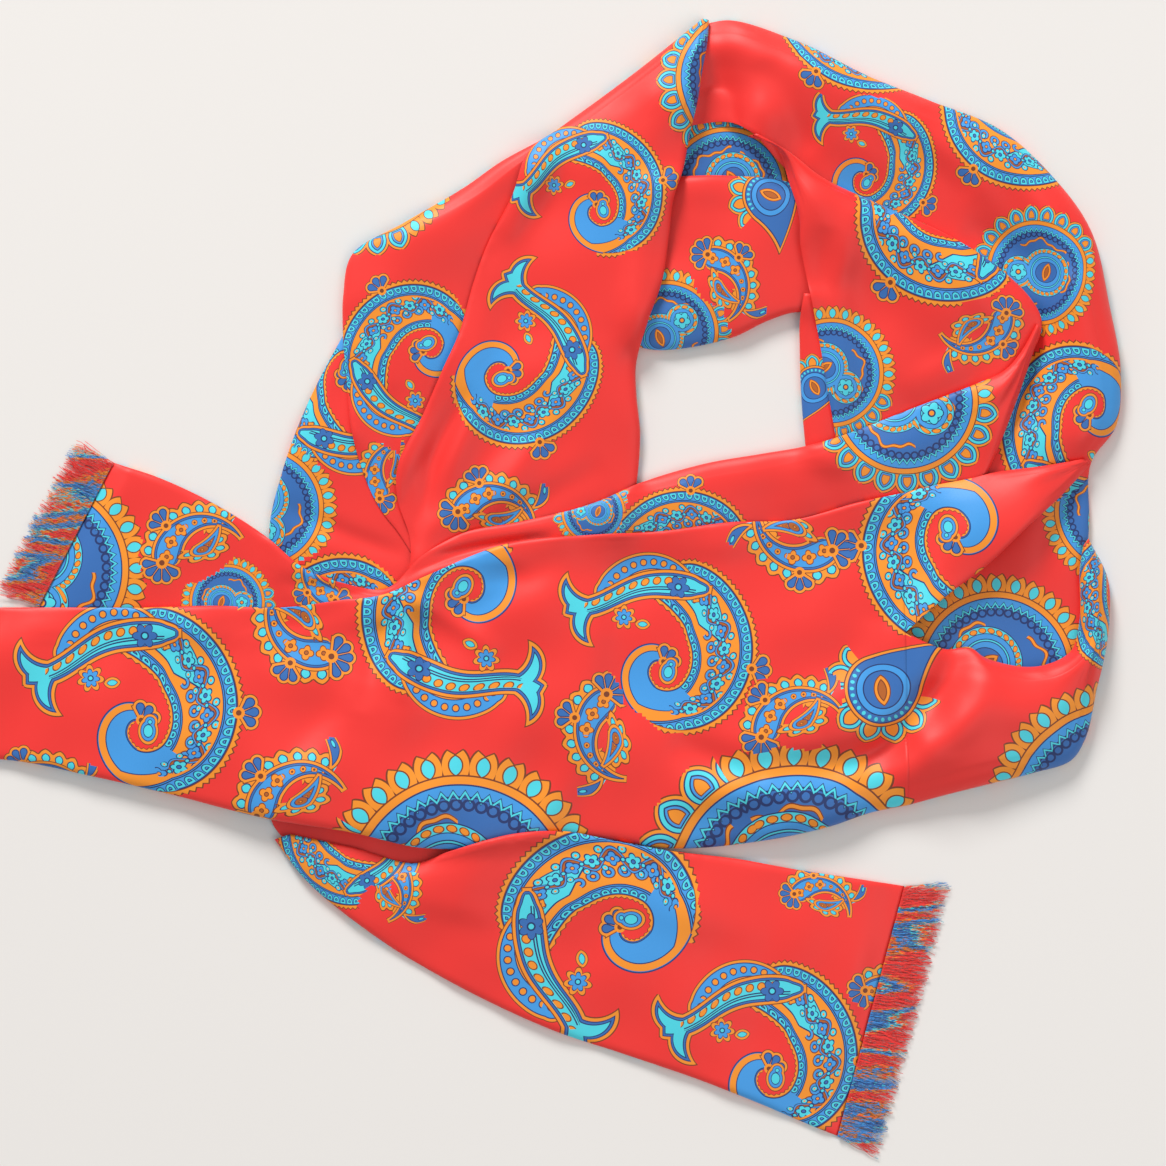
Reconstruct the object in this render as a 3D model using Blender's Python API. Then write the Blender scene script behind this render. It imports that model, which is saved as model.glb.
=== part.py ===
"""A long self-lined silk scarf with fringed ends, laid flat in one loose loop.

The cloth is one band. It runs from its left end across the front, turns up the right side, comes over
the top, goes down the left side, passes under the front run and ends in the tail at the lower right.
Each stretch that shows is a solid of its own: a rounded roll of folded cloth, flat where it rests.
A stretch is a table of sections. Edge a and edge b are the two long edges of the folded cloth.
"""

import math
from collections import namedtuple

import bmesh
import bpy
import numpy as np

MM = 0.001

# Driving dimensions, in millimetres. The tables below give places in the same frame:
# the origin is on the surface, below the middle of the laid scarf, and Y runs up the picture.
FRINGE_LENGTH = 24.0
FRINGE_STRIP_WIDTH = 3.0
FRINGE_STRIP_HEIGHT = 2.0
FRINGE_CLEARANCE = 0.45
STRAND_PITCH = 2.1
STRAND_WIDTH = 0.95
STRAND_HEIGHT = 0.7
STRAND_SWAY = 0.35  # of the pitch, at the most
SHORTEST_STRAND = 0.78  # of the fringe's length
SEAM_GAP = 0.35
LEAST_WALL = 1.6
LEAST_BODY_SHARE = 0.35  # what is left of the cloth's own height where it is pressed on what it crosses
RIM_MOST_OF_WIDTH = 0.8
RIM_POINT = 0.3
CELL_ALONG = 13.5
CELL_ACROSS = 12.5
SAMPLES_PER_CELL = 10
SUPPORT_STEP = 2.0
SUPPORT_HALF_X = 400.0
SUPPORT_HALF_Y = 360.0
SUPPORT_REACH = 19.0
SUPPORT_EASE = 8.0
SETTLE_REACH = 20.0
SUPPORT_SOFTNESS = 5.0
GROWTH = 22.0
FOLD_END_FADE = 1.5
FLAT_ANGLE_DEG = 0.2
STRANDS_SEED = 7

# One section of a stretch. near, mid and far are the cloth's height above what it lies on, a quarter,
# a half and three quarters of the way from edge a to edge b. rim_a and rim_b are the thickness of the
# rolled edges, and lift_a and lift_b the free height under them.
Section = namedtuple("Section", "ax ay bx by near mid far rim_a rim_b lift_a lift_b", defaults=(0, 0))

# Where a strand's outline is measured: the share of its length, and its size there as a share of the root's.
StrandRing = namedtuple("StrandRing", "share size height")
STRAND_RINGS = [StrandRing(0.5, 0.85, 1.35), StrandRing(1.0, 0.5, 0.8)]

# A soft valley (depth below zero) or ridge on one stretch, from its start to its end.
Fold = namedtuple("Fold", "stretch x0 y0 x1 y1 width depth")

BAND_INSIDE = [
    Section(84, 272, 84, 214, 2.0, 2.0, 2.0, 2.0, 2.0),
    Section(124, 270, 124, 212, 2.0, 2.0, 2.0, 2.0, 2.0),
    Section(158, 262, 158, 206, 2.0, 2.0, 2.0, 2.0, 2.0),
    Section(186, 246, 186, 200, 2.0, 2.0, 2.0, 2.0, 2.0),
]
BACK_BAND = [
    Section(80, 224, 70, 133, 8.0, 8.0, 8.0, 5.0, 6.0),
    Section(107, 225, 91, 129, 9.0, 9.0, 10.0, 5.0, 7.0),
    Section(132, 225, 131, 136, 9.0, 10.0, 10.0, 5.0, 7.0),
    Section(157, 223, 150, 145, 9.0, 10.0, 9.0, 5.0, 6.0),
    Section(184, 214, 168, 150, 8.0, 8.0, 8.0, 4.0, 6.0),
    Section(202, 206, 189, 147, 7.0, 7.0, 7.0, 4.0, 5.0),
]
SIDE_BAND = [
    Section(170, 160, 196, 158, 4.0, 4.0, 4.0, 4.0, 3.0),
    Section(168, 146, 195, 144, 6.0, 6.0, 6.0, 5.0, 4.0),
    Section(168, 129, 195, 129, 6.0, 7.0, 6.0, 5.0, 4.0),
    Section(169, 101, 195, 101, 6.0, 7.0, 6.0, 5.0, 4.0),
    Section(172, 67, 195, 63, 5.0, 5.0, 5.0, 4.0, 3.0),
]
OUTER_LIMB = [
    Section(97, 251, 113, 309, 9.0, 10.0, 9.0, 3.0, 6.0, 12, 0),
    Section(124, 255, 132, 311, 9.0, 11.0, 10.0, 3.0, 7.0, 13, 0),
    Section(140, 249, 168, 299, 9.0, 12.0, 12.0, 3.0, 8.0, 12, 0),
    Section(162, 227, 204, 281, 7.0, 12.0, 14.0, 3.0, 9.0, 3, 0),
    Section(187, 208, 239, 267, 6.0, 11.0, 15.0, 3.0, 9.0),
    Section(212, 192, 278, 251, 5.0, 9.0, 16.0, 3.0, 10.0),
    Section(239, 177, 309, 223, 5.0, 8.0, 16.0, 3.0, 10.0),
    Section(262, 156, 329, 194, 4.0, 6.0, 16.0, 3.0, 10.0),
    Section(275, 129, 339, 153, 4.0, 8.0, 17.0, 3.0, 10.0),
    Section(278, 101, 345, 118, 5.0, 12.0, 17.0, 3.0, 10.0),
    Section(278, 76, 343, 88, 5.0, 12.0, 14.0, 3.0, 8.0),
    Section(268, 46, 329, 67, 4.0, 8.0, 9.0, 3.0, 6.0),
    Section(246, 16, 328, 35, 4.0, 6.0, 7.0, 3.0, 5.0),
    Section(224, -14, 327, 4, 3.0, 4.0, 5.0, 2.5, 4.0),
    Section(214, -40, 331, -24, 2.5, 3.0, 3.0, 2.5, 3.0),
    Section(216, -60, 330, -46, 2.5, 2.5, 2.5, 2.5, 2.5),
]
LIMB_LOW = [
    Section(-82, 141, -70, 135, 4.0, 4.0, 4.0, 3.5, 3.0),
    Section(-92, 123, -68, 119, 6.0, 5.5, 5.0, 5.0, 3.0),
    Section(-107, 92, -67, 90, 6.5, 6.0, 5.0, 5.0, 3.0),
    Section(-118, 61, -62, 63, 6.5, 6.0, 5.0, 5.0, 3.0),
    Section(-125, 28, -51, 32, 5.0, 5.0, 4.0, 4.0, 3.0),
    Section(-121, 2, -41, 5, 4.0, 4.0, 3.5, 3.5, 3.0),
    Section(-112, -22, -38, -20, 3.0, 3.0, 3.0, 3.0, 3.0),
]
LIMB_MID = [
    Section(25, 245, 37, 239, 4.0, 4.0, 4.0, 4.0, 3.0),
    Section(3, 233, 28, 218, 8.0, 7.0, 6.0, 7.0, 3.0),
    Section(-17, 219, 18, 200, 10.0, 8.0, 6.0, 8.0, 3.0),
    Section(-51, 199, 9, 183, 11.0, 10.0, 7.0, 8.0, 3.0),
    Section(-79, 182, 6, 165, 10.0, 10.0, 7.0, 7.0, 3.0),
    Section(-84, 159, -1, 150, 10.0, 9.0, 7.0, 7.0, 3.0),
    Section(-84, 137, -8, 131, 7.0, 8.0, 6.0, 5.0, 3.0),
    Section(-82, 113, -18, 109, 5.5, 7.0, 6.0, 4.0, 3.0),
    Section(-78, 79, -36, 79, 5.0, 6.0, 5.0, 3.5, 3.0),
    Section(-64, 42, -41, 41, 4.5, 5.0, 4.5, 3.5, 3.0),
    Section(-54, 29, -36, 21, 4.0, 4.0, 4.0, 3.0, 3.0),
    Section(-42, 10, -27, 2, 3.5, 3.5, 3.5, 3.0, 3.0),
]
LIMB_TOP = [
    Section(114, 311.7, 118, 310.9, 6.0, 6.0, 6.0, 5.0, 5.0),
    Section(102, 302, 117, 299, 10.0, 10.0, 9.0, 7.0, 5.0),
    Section(82, 286, 114, 282, 11.0, 12.0, 10.0, 8.0, 6.0, 0, 2),
    Section(58, 268, 111, 263, 11.0, 13.0, 11.0, 8.0, 6.0, 0, 4),
    Section(36, 252, 107, 247, 11.0, 13.0, 12.0, 8.0, 6.0, 0, 5),
    Section(19, 239, 104, 230, 9.0, 13.0, 12.0, 5.0, 6.0, 0, 4),
    Section(9, 213, 98, 211, 7.0, 11.0, 12.0, 3.0, 6.0, 0, 3),
    Section(-3, 190, 96, 194, 7.0, 10.0, 11.0, 3.0, 6.0, 0, 2),
    Section(-12, 166, 92, 167, 7.0, 10.0, 11.0, 3.5, 7.0),
    Section(-20, 138, 84, 144, 7.0, 10.0, 11.0, 3.5, 8.0),
    Section(-29, 118, 78, 123, 7.0, 10.0, 11.0, 3.5, 8.0),
    Section(-41, 91, 78, 104, 7.0, 9.0, 10.0, 4.0, 8.0),
    Section(-53, 68, 80, 82, 6.0, 8.0, 9.0, 4.0, 7.0),
    Section(-54, 47, 78, 55, 5.0, 7.0, 8.0, 3.5, 6.0),
    Section(-47, 24, 74, 32, 4.5, 5.0, 5.0, 3.5, 4.0),
    Section(-52, -9, 63, -3, 4.5, 4.5, 4.5, 3.5, 3.5),
    Section(-82, -64, 58, -58, 4.5, 4.5, 4.5, 3.5, 3.5),
    Section(-116, -108, 50, -105, 4.5, 4.5, 4.5, 3.5, 3.5),
    Section(-121, -136, 20, -148, 3.5, 4.0, 4.0, 3.0, 3.0),
    Section(-110, -147, 8, -164, 3.0, 3.0, 3.0, 2.5, 2.0),
    Section(-88, -164, -2, -188, 2.5, 3.0, 2.5, 2.0, 2.0),
]
INNER_FOLD = [
    Section(139, 246, 144, 247, 5.0, 5.0, 5.0, 3.0, 3.0, 4, 4),
    Section(155, 239, 163, 237, 7.0, 8.0, 7.0, 3.0, 4.0, 4, 2),
    Section(162, 220, 180, 224, 9.0, 10.0, 9.0, 3.5, 5.0, 4, 1),
    Section(167, 202, 210, 210, 10.0, 12.0, 11.0, 3.5, 5.0, 4, 0),
    Section(168, 186, 248, 193, 11.0, 13.0, 12.0, 3.5, 6.0, 3, 0),
    Section(174, 156, 278, 174, 10.0, 14.0, 13.0, 3.5, 7.0, 2, 0),
    Section(179, 131, 296, 156, 9.0, 13.0, 13.0, 3.5, 7.0, 1, 0),
    Section(184, 101, 301, 140, 8.0, 9.0, 8.0, 3.5, 5.0),
    Section(189, 74, 284, 106, 4.0, 4.0, 4.0, 3.0, 3.5),
]
FRONT_UNDER = [
    Section(-211, 67, -260, -29, 4.5, 4.5, 3.5, 3.5, 3.0),
    Section(-184, 58, -217, -31, 5.5, 5.0, 4.0, 4.5, 3.0),
    Section(-153, 43, -173, -31, 5.5, 5.0, 4.0, 4.5, 3.0),
    Section(-125, 25, -132, -31, 5.0, 4.5, 4.0, 4.0, 3.0),
    Section(-104, 8, -102, -29, 4.5, 4.0, 4.0, 3.5, 3.0),
    Section(-82, 0, -80, -24, 3.5, 3.5, 3.5, 3.0, 3.0),
    Section(-59, -2, -55, -19, 3.5, 3.5, 3.5, 3.0, 3.0),
    Section(-41, 15, -36, -11, 4.0, 4.0, 3.5, 3.0, 3.0),
    Section(-18, 28, -14, -1, 4.5, 4.5, 4.0, 3.0, 3.0),
    Section(12, 34, 16, 8, 4.5, 4.5, 4.0, 3.0, 3.0),
    Section(58, 46, 66, 12, 5.5, 5.0, 4.0, 3.5, 3.0),
    Section(78, 55, 88, 13, 7.0, 6.0, 4.5, 5.0, 3.0),
    Section(114, 66, 119, 16, 9.0, 8.0, 5.0, 7.0, 3.0),
    Section(148, 72, 154, 20, 9.5, 8.0, 5.0, 7.0, 3.0),
    Section(171, 76, 179, 23, 9.0, 8.0, 5.0, 6.0, 3.0),
    Section(186, 80, 195, 28, 8.0, 7.0, 5.0, 4.0, 3.0),
    Section(205, 87, 220, 33, 8.0, 7.0, 5.0, 3.5, 3.0),
    Section(228, 96, 245, 40, 9.0, 8.0, 5.0, 3.5, 3.0),
    Section(249, 104, 261, 46, 9.0, 8.5, 6.0, 3.5, 3.0),
    Section(267, 111, 271, 61, 9.0, 9.0, 7.0, 3.5, 4.0),
    Section(281, 118, 284, 92, 8.0, 8.0, 8.0, 3.5, 5.0),
    Section(291, 130, 294, 120, 6.0, 6.0, 6.0, 4.0, 5.0),
    Section(298, 143, 300, 141, 4.0, 4.0, 4.0, 3.5, 4.0),
]
FRONT_LAP = [
    Section(-277, -13, -324, -98, 5.0, 5.0, 4.5, 3.0, 4.0),
    Section(-239, -13, -272, -97, 6.0, 6.0, 6.0, 3.0, 5.0),
    Section(-195, -13, -223, -106, 6.5, 7.0, 7.0, 3.0, 6.0),
    Section(-156, -12, -179, -116, 6.5, 8.0, 8.0, 3.0, 6.0),
    Section(-118, -13, -127, -129, 6.5, 8.0, 8.5, 3.0, 7.0),
    Section(-86, -9, -78, -137, 6.5, 8.0, 8.5, 3.0, 7.0),
    Section(-59, -5, -43, -145, 6.0, 8.0, 8.5, 3.0, 7.0),
    Section(-39, 4, -21, -146, 6.0, 8.0, 9.0, 3.0, 7.0),
    Section(10, 23, 25, -142, 6.5, 8.0, 9.0, 3.0, 7.0),
    Section(52, 27, 58, -141, 7.0, 9.0, 10.0, 3.0, 7.0),
    Section(91, 29, 100, -146, 8.0, 10.0, 13.0, 3.5, 9.0),
    Section(129, 34, 146, -142, 9.0, 11.0, 16.0, 3.5, 10.0),
    Section(168, 36, 184, -134, 9.0, 11.0, 18.0, 3.5, 11.0),
    Section(200, 45, 208, -126, 9.0, 11.0, 19.0, 3.5, 11.0),
    Section(224, 50, 228, -122, 9.0, 12.0, 20.0, 3.5, 11.0),
]
FRONT_FLAP = [
    Section(224.5, 50, 226.3, -26.5, 8.0, 9.0, 8.0, 3.5, 4.0),
    Section(240, 54, 249, -6, 8.0, 9.0, 8.0, 3.5, 4.5, 0, 6),
    Section(261, 58, 269, 9, 8.0, 9.0, 8.0, 3.5, 4.5, 0, 9),
    Section(278, 62, 293, 32, 7.0, 8.0, 7.0, 3.5, 4.5, 0, 9),
    Section(302, 65, 312, 49, 6.0, 6.0, 6.0, 3.5, 4.0, 0, 4),
    Section(325, 69, 328, 66, 3.5, 3.5, 3.5, 3.0, 3.0),
]
TURN_ROLL = [
    Section(226.4, -27.1, 228.6, -122, 13.0, 19.0, 18.0, 7.0, 11.0),
    Section(237, -32, 250, -116, 15.0, 20.0, 18.0, 7.0, 11.0),
    Section(249, -36, 274, -110, 16.0, 20.0, 18.0, 8.0, 11.0),
    Section(262, -35, 298, -104, 17.0, 20.0, 17.0, 8.0, 10.0),
    Section(271, -41, 317, -98, 17.0, 19.0, 16.0, 9.0, 9.0),
    Section(286, -45, 325, -87, 16.0, 18.0, 14.0, 9.0, 8.0),
    Section(305, -44, 332, -58, 14.0, 16.0, 14.0, 9.0, 8.0),
    Section(318, -36, 337, -36, 13.0, 14.0, 12.0, 8.0, 8.0),
    Section(322, -20, 339, -18, 12.0, 13.0, 11.0, 7.0, 8.0),
    Section(322, 9, 336, 9, 9.0, 10.0, 9.0, 6.0, 6.0),
    Section(324, 21, 327, 25, 5.0, 5.0, 5.0, 4.0, 4.0),
]
TAIL = [
    Section(-113, -138, -122, -141, 4.0, 4.0, 4.0, 3.0, 3.0),
    Section(-80, -145, -107, -161, 5.0, 5.0, 5.0, 3.0, 4.0),
    Section(-44, -154, -86, -180, 6.0, 6.0, 6.0, 4.0, 5.0),
    Section(-25, -147, -63, -197, 9.0, 8.0, 7.0, 6.0, 5.0),
    Section(6, -138, -37, -213, 10.0, 9.0, 7.0, 6.0, 5.0),
    Section(36, -136, -3, -231, 11.0, 10.0, 7.0, 6.0, 5.0),
    Section(64, -141, 33, -247, 10.0, 9.0, 7.0, 6.0, 5.0),
    Section(96, -147, 69, -259, 8.0, 8.0, 7.0, 6.0, 5.0),
    Section(135, -152, 113, -274, 7.0, 7.0, 6.5, 6.0, 5.0),
    Section(168, -158, 146, -287, 6.0, 6.5, 6.0, 5.0, 5.0),
    Section(201, -163, 174, -299, 5.0, 5.0, 5.0, 4.0, 4.0),
    Section(226, -167, 189, -305, 4.0, 4.0, 4.0, 3.0, 3.0),
]

# A stretch, what it lies on, and, where it grows out of the end of another stretch, which one and
# between which shares of its last section. Lowest first.
Stretch = namedtuple("Stretch", "name sections lies_on grows_from start stop", defaults=(None, 0, 1))
STRETCHES = [
    Stretch("band_inside", BAND_INSIDE, ()),
    Stretch("back_band", BACK_BAND, ("band_inside",)),
    Stretch("side_band", SIDE_BAND, ("back_band",)),
    Stretch("outer_limb", OUTER_LIMB, ("band_inside", "back_band", "side_band")),
    Stretch("left_limb_low", LIMB_LOW, ()),
    Stretch("left_limb_mid", LIMB_MID, ("left_limb_low",)),
    Stretch(
        "left_limb_top",
        LIMB_TOP,
        ("band_inside", "back_band", "outer_limb", "left_limb_low", "left_limb_mid"),
    ),
    Stretch("inner_fold", INNER_FOLD, ("back_band", "side_band", "outer_limb", "band_inside")),
    Stretch(
        "front_under",
        FRONT_UNDER,
        ("left_limb_low", "left_limb_mid", "left_limb_top", "side_band", "outer_limb", "inner_fold"),
    ),
    Stretch(
        "front_lap",
        FRONT_LAP,
        ("left_limb_low", "left_limb_mid", "left_limb_top", "front_under", "outer_limb"),
    ),
    Stretch("turn_roll", TURN_ROLL, ("outer_limb",), "front_lap", 0.445, 1.0),
    Stretch("front_flap", FRONT_FLAP, ("front_under", "outer_limb"), "front_lap", 0.0, 0.445),
    Stretch("tail", TAIL, ("left_limb_top", "front_lap")),
]

FOLDS = [
    Fold("front_lap", 232, -62, 150, -104, 7.0, -7.0),
    Fold("front_lap", 150, -104, 96, -86, 9.0, -5.0),
    Fold("front_lap", 214, -24, 150, -30, 16.0, 2.5),
    Fold("front_lap", 40, 16, -20, -20, 8.0, -2.0),
    Fold("front_lap", -44, -4, -58, -60, 7.0, 2.0),
    Fold("front_lap", -36, -2, -20, -70, 7.0, -1.8),
    Fold("front_lap", -150, -40, -60, -60, 14.0, 1.5),
    Fold("left_limb_top", -40, 40, 30, 110, 12.0, -2.0),
    Fold("left_limb_top", -46, 26, -10, 48, 6.0, 2.0),
    Fold("left_limb_top", 32, 236, 4, 190, 8.0, 2.5),
    Fold("left_limb_top", 60, 240, 66, 140, 16.0, 2.0),
    Fold("left_limb_mid", -60, 150, -56, 60, 8.0, 2.0),
    Fold("outer_limb", 258, 196, 300, 176, 9.0, -3.0),
    Fold("outer_limb", 322, 172, 306, 146, 7.0, 3.0),
    Fold("outer_limb", 190, 262, 262, 214, 12.0, -3.0),
    Fold("outer_limb", 330, 100, 318, 60, 8.0, 2.5),
    Fold("inner_fold", 196, 176, 240, 120, 16.0, -2.5),
    Fold("inner_fold", 276, 132, 226, 104, 10.0, 2.5),
    Fold("front_under", 252, 84, 180, 58, 12.0, 2.0),
    Fold("front_under", -160, 26, -196, 4, 12.0, 1.2),
    Fold("turn_roll", 262, -64, 318, -76, 14.0, 2.5),
    Fold("turn_roll", 240, -52, 250, -96, 9.0, -2.5),
    Fold("tail", -20, -176, 60, -206, 14.0, -2.0),
    Fold("tail", 40, -164, 150, -196, 12.0, 1.8),
    Fold("tail", 100, -232, 176, -262, 12.0, -1.2),
    Fold("back_band", 74, 162, 108, 152, 6.0, -3.0),
]

# One fringed end: the section that it hangs from, the shares of that section, from edge a, between
# which its strands are rooted, and the way the strands point at its two ends.
Fringe = namedtuple("Fringe", "end start stop out_ax out_ay out_bx out_by")
FRINGES = {
    "tail_fringe": Fringe(TAIL[-1], 0.01, 0.99, 0.99, -0.02, 0.93, -0.36),
    "left_end_fringe_upper": Fringe(FRONT_UNDER[0], 0.02, 0.80, -0.89, 0.45, -0.94, 0.34),
    "left_end_fringe_lower": Fringe(FRONT_LAP[0], 0.02, 0.98, -0.97, 0.22, -0.97, 0.25),
}

RED_SILK = (0.85, 0.05, 0.04, 1.0)
FRINGE_THREAD = (0.35, 0.12, 0.14, 1.0)


def smooth_rows(rows, count):
    """The sections' numbers at evenly spaced places along the stretch, on a smooth curve through them."""
    table = np.array(rows, float)
    middle = (table[:, 0:2] + table[:, 2:4]) / 2
    steps = np.maximum(np.linalg.norm(np.diff(middle, axis=0), axis=1), 1e-6)
    at = np.concatenate([[0], np.cumsum(steps)])
    return hermite(at, table, np.linspace(0, at[-1], count))


def hermite(at, values, wanted):
    """A cubic through values, with slopes from the neighbours that never overshoot by much."""
    slope = np.diff(values, axis=0) / np.diff(at)[:, None]
    tangent = np.empty_like(values)
    tangent[0], tangent[-1] = slope[0], slope[-1]
    before, after = np.diff(at)[:-1, None], np.diff(at)[1:, None]
    tangent[1:-1] = (slope[:-1] * after + slope[1:] * before) / (before + after)
    i = np.clip(np.searchsorted(at, wanted, side="right") - 1, 0, len(at) - 2)
    span = (at[i + 1] - at[i])[:, None]
    t = (wanted[:, None] - at[i][:, None]) / span
    return (
        (2 * t**3 - 3 * t**2 + 1) * values[i]
        + (t**3 - 2 * t**2 + t) * span * tangent[i]
        + (-2 * t**3 + 3 * t**2) * values[i + 1]
        + (t**3 - t**2) * span * tangent[i + 1]
    )


def path_length(rows):
    table = np.array(rows, float)
    middle = (table[:, 0:2] + table[:, 2:4]) / 2
    return np.linalg.norm(np.diff(middle, axis=0), axis=1).sum()


def support_cells(x, y):
    """The row and column of the support grid that hold x, y."""
    columns, rows = (int(2 * half / SUPPORT_STEP) + 1 for half in (SUPPORT_HALF_X, SUPPORT_HALF_Y))
    column = np.clip(np.rint((x + SUPPORT_HALF_X) / SUPPORT_STEP), 0, columns - 1).astype(int)
    row = np.clip(np.rint((y + SUPPORT_HALF_Y) / SUPPORT_STEP), 0, rows - 1).astype(int)
    return row, column


def height_grid(x, y, z, pick=np.maximum, start=0.0):
    """The height of a surface on a square grid, its faces sampled finely and pick choosing in each cell."""
    size = [int(2 * half / SUPPORT_STEP) + 1 for half in (SUPPORT_HALF_Y, SUPPORT_HALF_X)]
    grid = np.full(size, start)
    shares = np.linspace(0, 1, SAMPLES_PER_CELL)
    for s in shares:
        for t in shares:
            point = [
                (1 - s) * (1 - t) * g[:-1, :-1] + s * (1 - t) * g[1:, :-1]
                + (1 - s) * t * g[:-1, 1:] + s * t * g[1:, 1:]
                for g in (x, y, z)
            ]
            pick.at(grid, support_cells(point[0], point[1]), point[2])
    return grid


def shifted_copies(grid, distance, beyond=0.0):
    """The grid moved to every cell within the distance, one copy at a time, and beyond outside it."""
    reach = int(math.ceil(distance / SUPPORT_STEP))
    padded = np.pad(grid, reach, constant_values=beyond)
    rows, columns = grid.shape
    for i in range(-reach, reach + 1):
        for j in range(-reach, reach + 1):
            if i * i + j * j <= reach * reach:
                yield padded[reach + i : reach + i + rows, reach + j : reach + j + columns]


def clear_above(grid):
    """A height that clears everything near each cell and eases down beside it, so that nothing tents."""
    highest = np.zeros_like(grid)
    for copy in shifted_copies(grid, SUPPORT_REACH):
        np.maximum(highest, copy, out=highest)
    total, copies = np.zeros_like(grid), 0
    for copy in shifted_copies(highest, SUPPORT_EASE):
        total += copy
        copies += 1
    return total / copies


def free_drop(x, y, underside, support):
    """How far the underside near each cell can come down before any of it meets the support."""
    lowest = height_grid(x, y, underside, np.minimum, np.inf)
    gap = np.where(support > 0, lowest - support, np.inf)
    nearest = np.full_like(gap, np.inf)
    for copy in shifted_copies(gap, SETTLE_REACH, np.inf):
        np.minimum(nearest, copy, out=nearest)
    return np.maximum(nearest - SEAM_GAP, 0)


def softened(grid):
    """The height as soft cloth follows it, with its steps rounded off."""
    reach = int(3 * SUPPORT_SOFTNESS / SUPPORT_STEP)
    offsets = np.arange(-reach, reach + 1) * SUPPORT_STEP
    weights = np.exp(-((offsets / SUPPORT_SOFTNESS) ** 2) / 2)
    weights /= weights.sum()
    out = np.apply_along_axis(np.convolve, 0, grid, weights, "same")
    return np.apply_along_axis(np.convolve, 1, out, weights, "same")


def fold_height(stretch, x, y):
    """What the folds add to the stretch's height at x, y."""
    total = np.zeros_like(x)
    for fold in FOLDS:
        if fold.stretch != stretch:
            continue
        along = np.array([fold.x1 - fold.x0, fold.y1 - fold.y0], float)
        length = np.linalg.norm(along)
        along /= length
        s = ((x - fold.x0) * along[0] + (y - fold.y0) * along[1]) / length
        d = (x - fold.x0) * along[1] - (y - fold.y0) * along[0]
        past = np.maximum(np.maximum(-s, s - 1), 0) * length
        fade = np.exp(-((past / (FOLD_END_FADE * fold.width)) ** 2))
        total += fold.depth * np.exp(-((d / fold.width) ** 2)) * fade
    return total


def across_places(width, rim_a, rim_b, count):
    """Distances from edge a: two on each rolled rim, and even ones between them."""
    squeeze = min(1.0, RIM_MOST_OF_WIDTH * width / (rim_a + rim_b))
    inner_a, inner_b = rim_a * squeeze, width - rim_b * squeeze
    middle = np.linspace(inner_a, inner_b, count)
    return np.concatenate([[0, RIM_POINT * inner_a], middle, [width - RIM_POINT * (width - inner_b), width]])


def body_across(row, u):
    """The cloth's own height at the shares u of a section."""
    heights = np.array([[row[7]], [row[4]], [row[5]], [row[6]], [row[8]]])
    return hermite(np.array([0, 0.25, 0.5, 0.75, 1]), heights, u)[:, 0]


def stretch_surfaces(stretch, support, tables):
    """Grids of x, y and the two heights, top and underside, of a stretch that has settled on the support."""
    clear, soft = clear_above(support), softened(support)
    clear = np.where(clear > 0, clear + SEAM_GAP, 0)
    x, y, _, underside, lift = draped(stretch, clear, soft, tables)
    drop = free_drop(x, y, underside - lift, support)
    settled = np.maximum(clear - np.minimum(drop, clear), 0)
    return draped(stretch, settled, soft, tables)[:4]


def draped(stretch, floor, soft, tables):
    """Grids of x, y, top, underside and free height of a stretch whose underside follows the floor."""
    along = max(3, int(round(path_length(stretch.sections) / CELL_ALONG)) + 1)
    sections = smooth_rows(stretch.sections, along)
    middles = (sections[:, 0:2] + sections[:, 2:4]) / 2
    travelled = np.concatenate([[0], np.cumsum(np.linalg.norm(np.diff(middles, axis=0), axis=1))])
    widest = np.linalg.norm(sections[:, 2:4] - sections[:, 0:2], axis=1).max()
    across = max(3, int(round(widest / CELL_ACROSS)) + 1)
    grids = [[], [], [], [], []]
    for row, so_far in zip(sections, travelled):
        a, b = row[0:2], row[2:4]
        rim_a, rim_b, lift_a, lift_b = row[7:11]
        width = np.linalg.norm(b - a)
        d = across_places(width, rim_a, rim_b, across)
        u = d / width
        x, y = a[0] + (b[0] - a[0]) * u, a[1] + (b[1] - a[1]) * u
        spine = body_across(row, u)
        if stretch.grows_from:
            share = math.exp(-((so_far / GROWTH) ** 2))
            parent = np.array(tables[stretch.grows_from][-1], float)
            from_parent = body_across(parent, stretch.start + (stretch.stop - stretch.start) * u)
            spine = share * from_parent + (1 - share) * spine
        lift = np.maximum(lift_a + (lift_b - lift_a) * u, 0)
        cell = support_cells(x, y)
        under = floor[cell] + lift
        inner_a, inner_b = max(d[2], 1e-6), max(width - d[-3], 1e-6)
        bulge = np.minimum(roundness(d / inner_a), roundness((width - d) / inner_b))
        body = np.maximum(spine + fold_height(stretch.name, x, y), LEAST_WALL)
        least = np.maximum(LEAST_BODY_SHARE * body, LEAST_WALL)
        thickness = np.maximum(soft[cell] + lift + body - under, least)
        rim_drop = (1 - bulge) * np.minimum(thickness, np.where(u < 0.5, rim_a, rim_b)) / 2
        top = under + thickness - rim_drop
        bottom = under + rim_drop
        bottom[[0, -1]] = top[[0, -1]] = (under + thickness / 2)[[0, -1]]
        for grid, values in zip(grids, (x, y, top, bottom, lift)):
            grid.append(values)
    return [np.array(grid) for grid in grids]


def roundness(share):
    """0 at a rolled rim's outermost line and 1 from its inner line on, along a quarter of a circle."""
    t = np.clip(share, 0, 1)
    return np.sqrt(np.maximum(1 - (1 - t) ** 2, 0))


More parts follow.
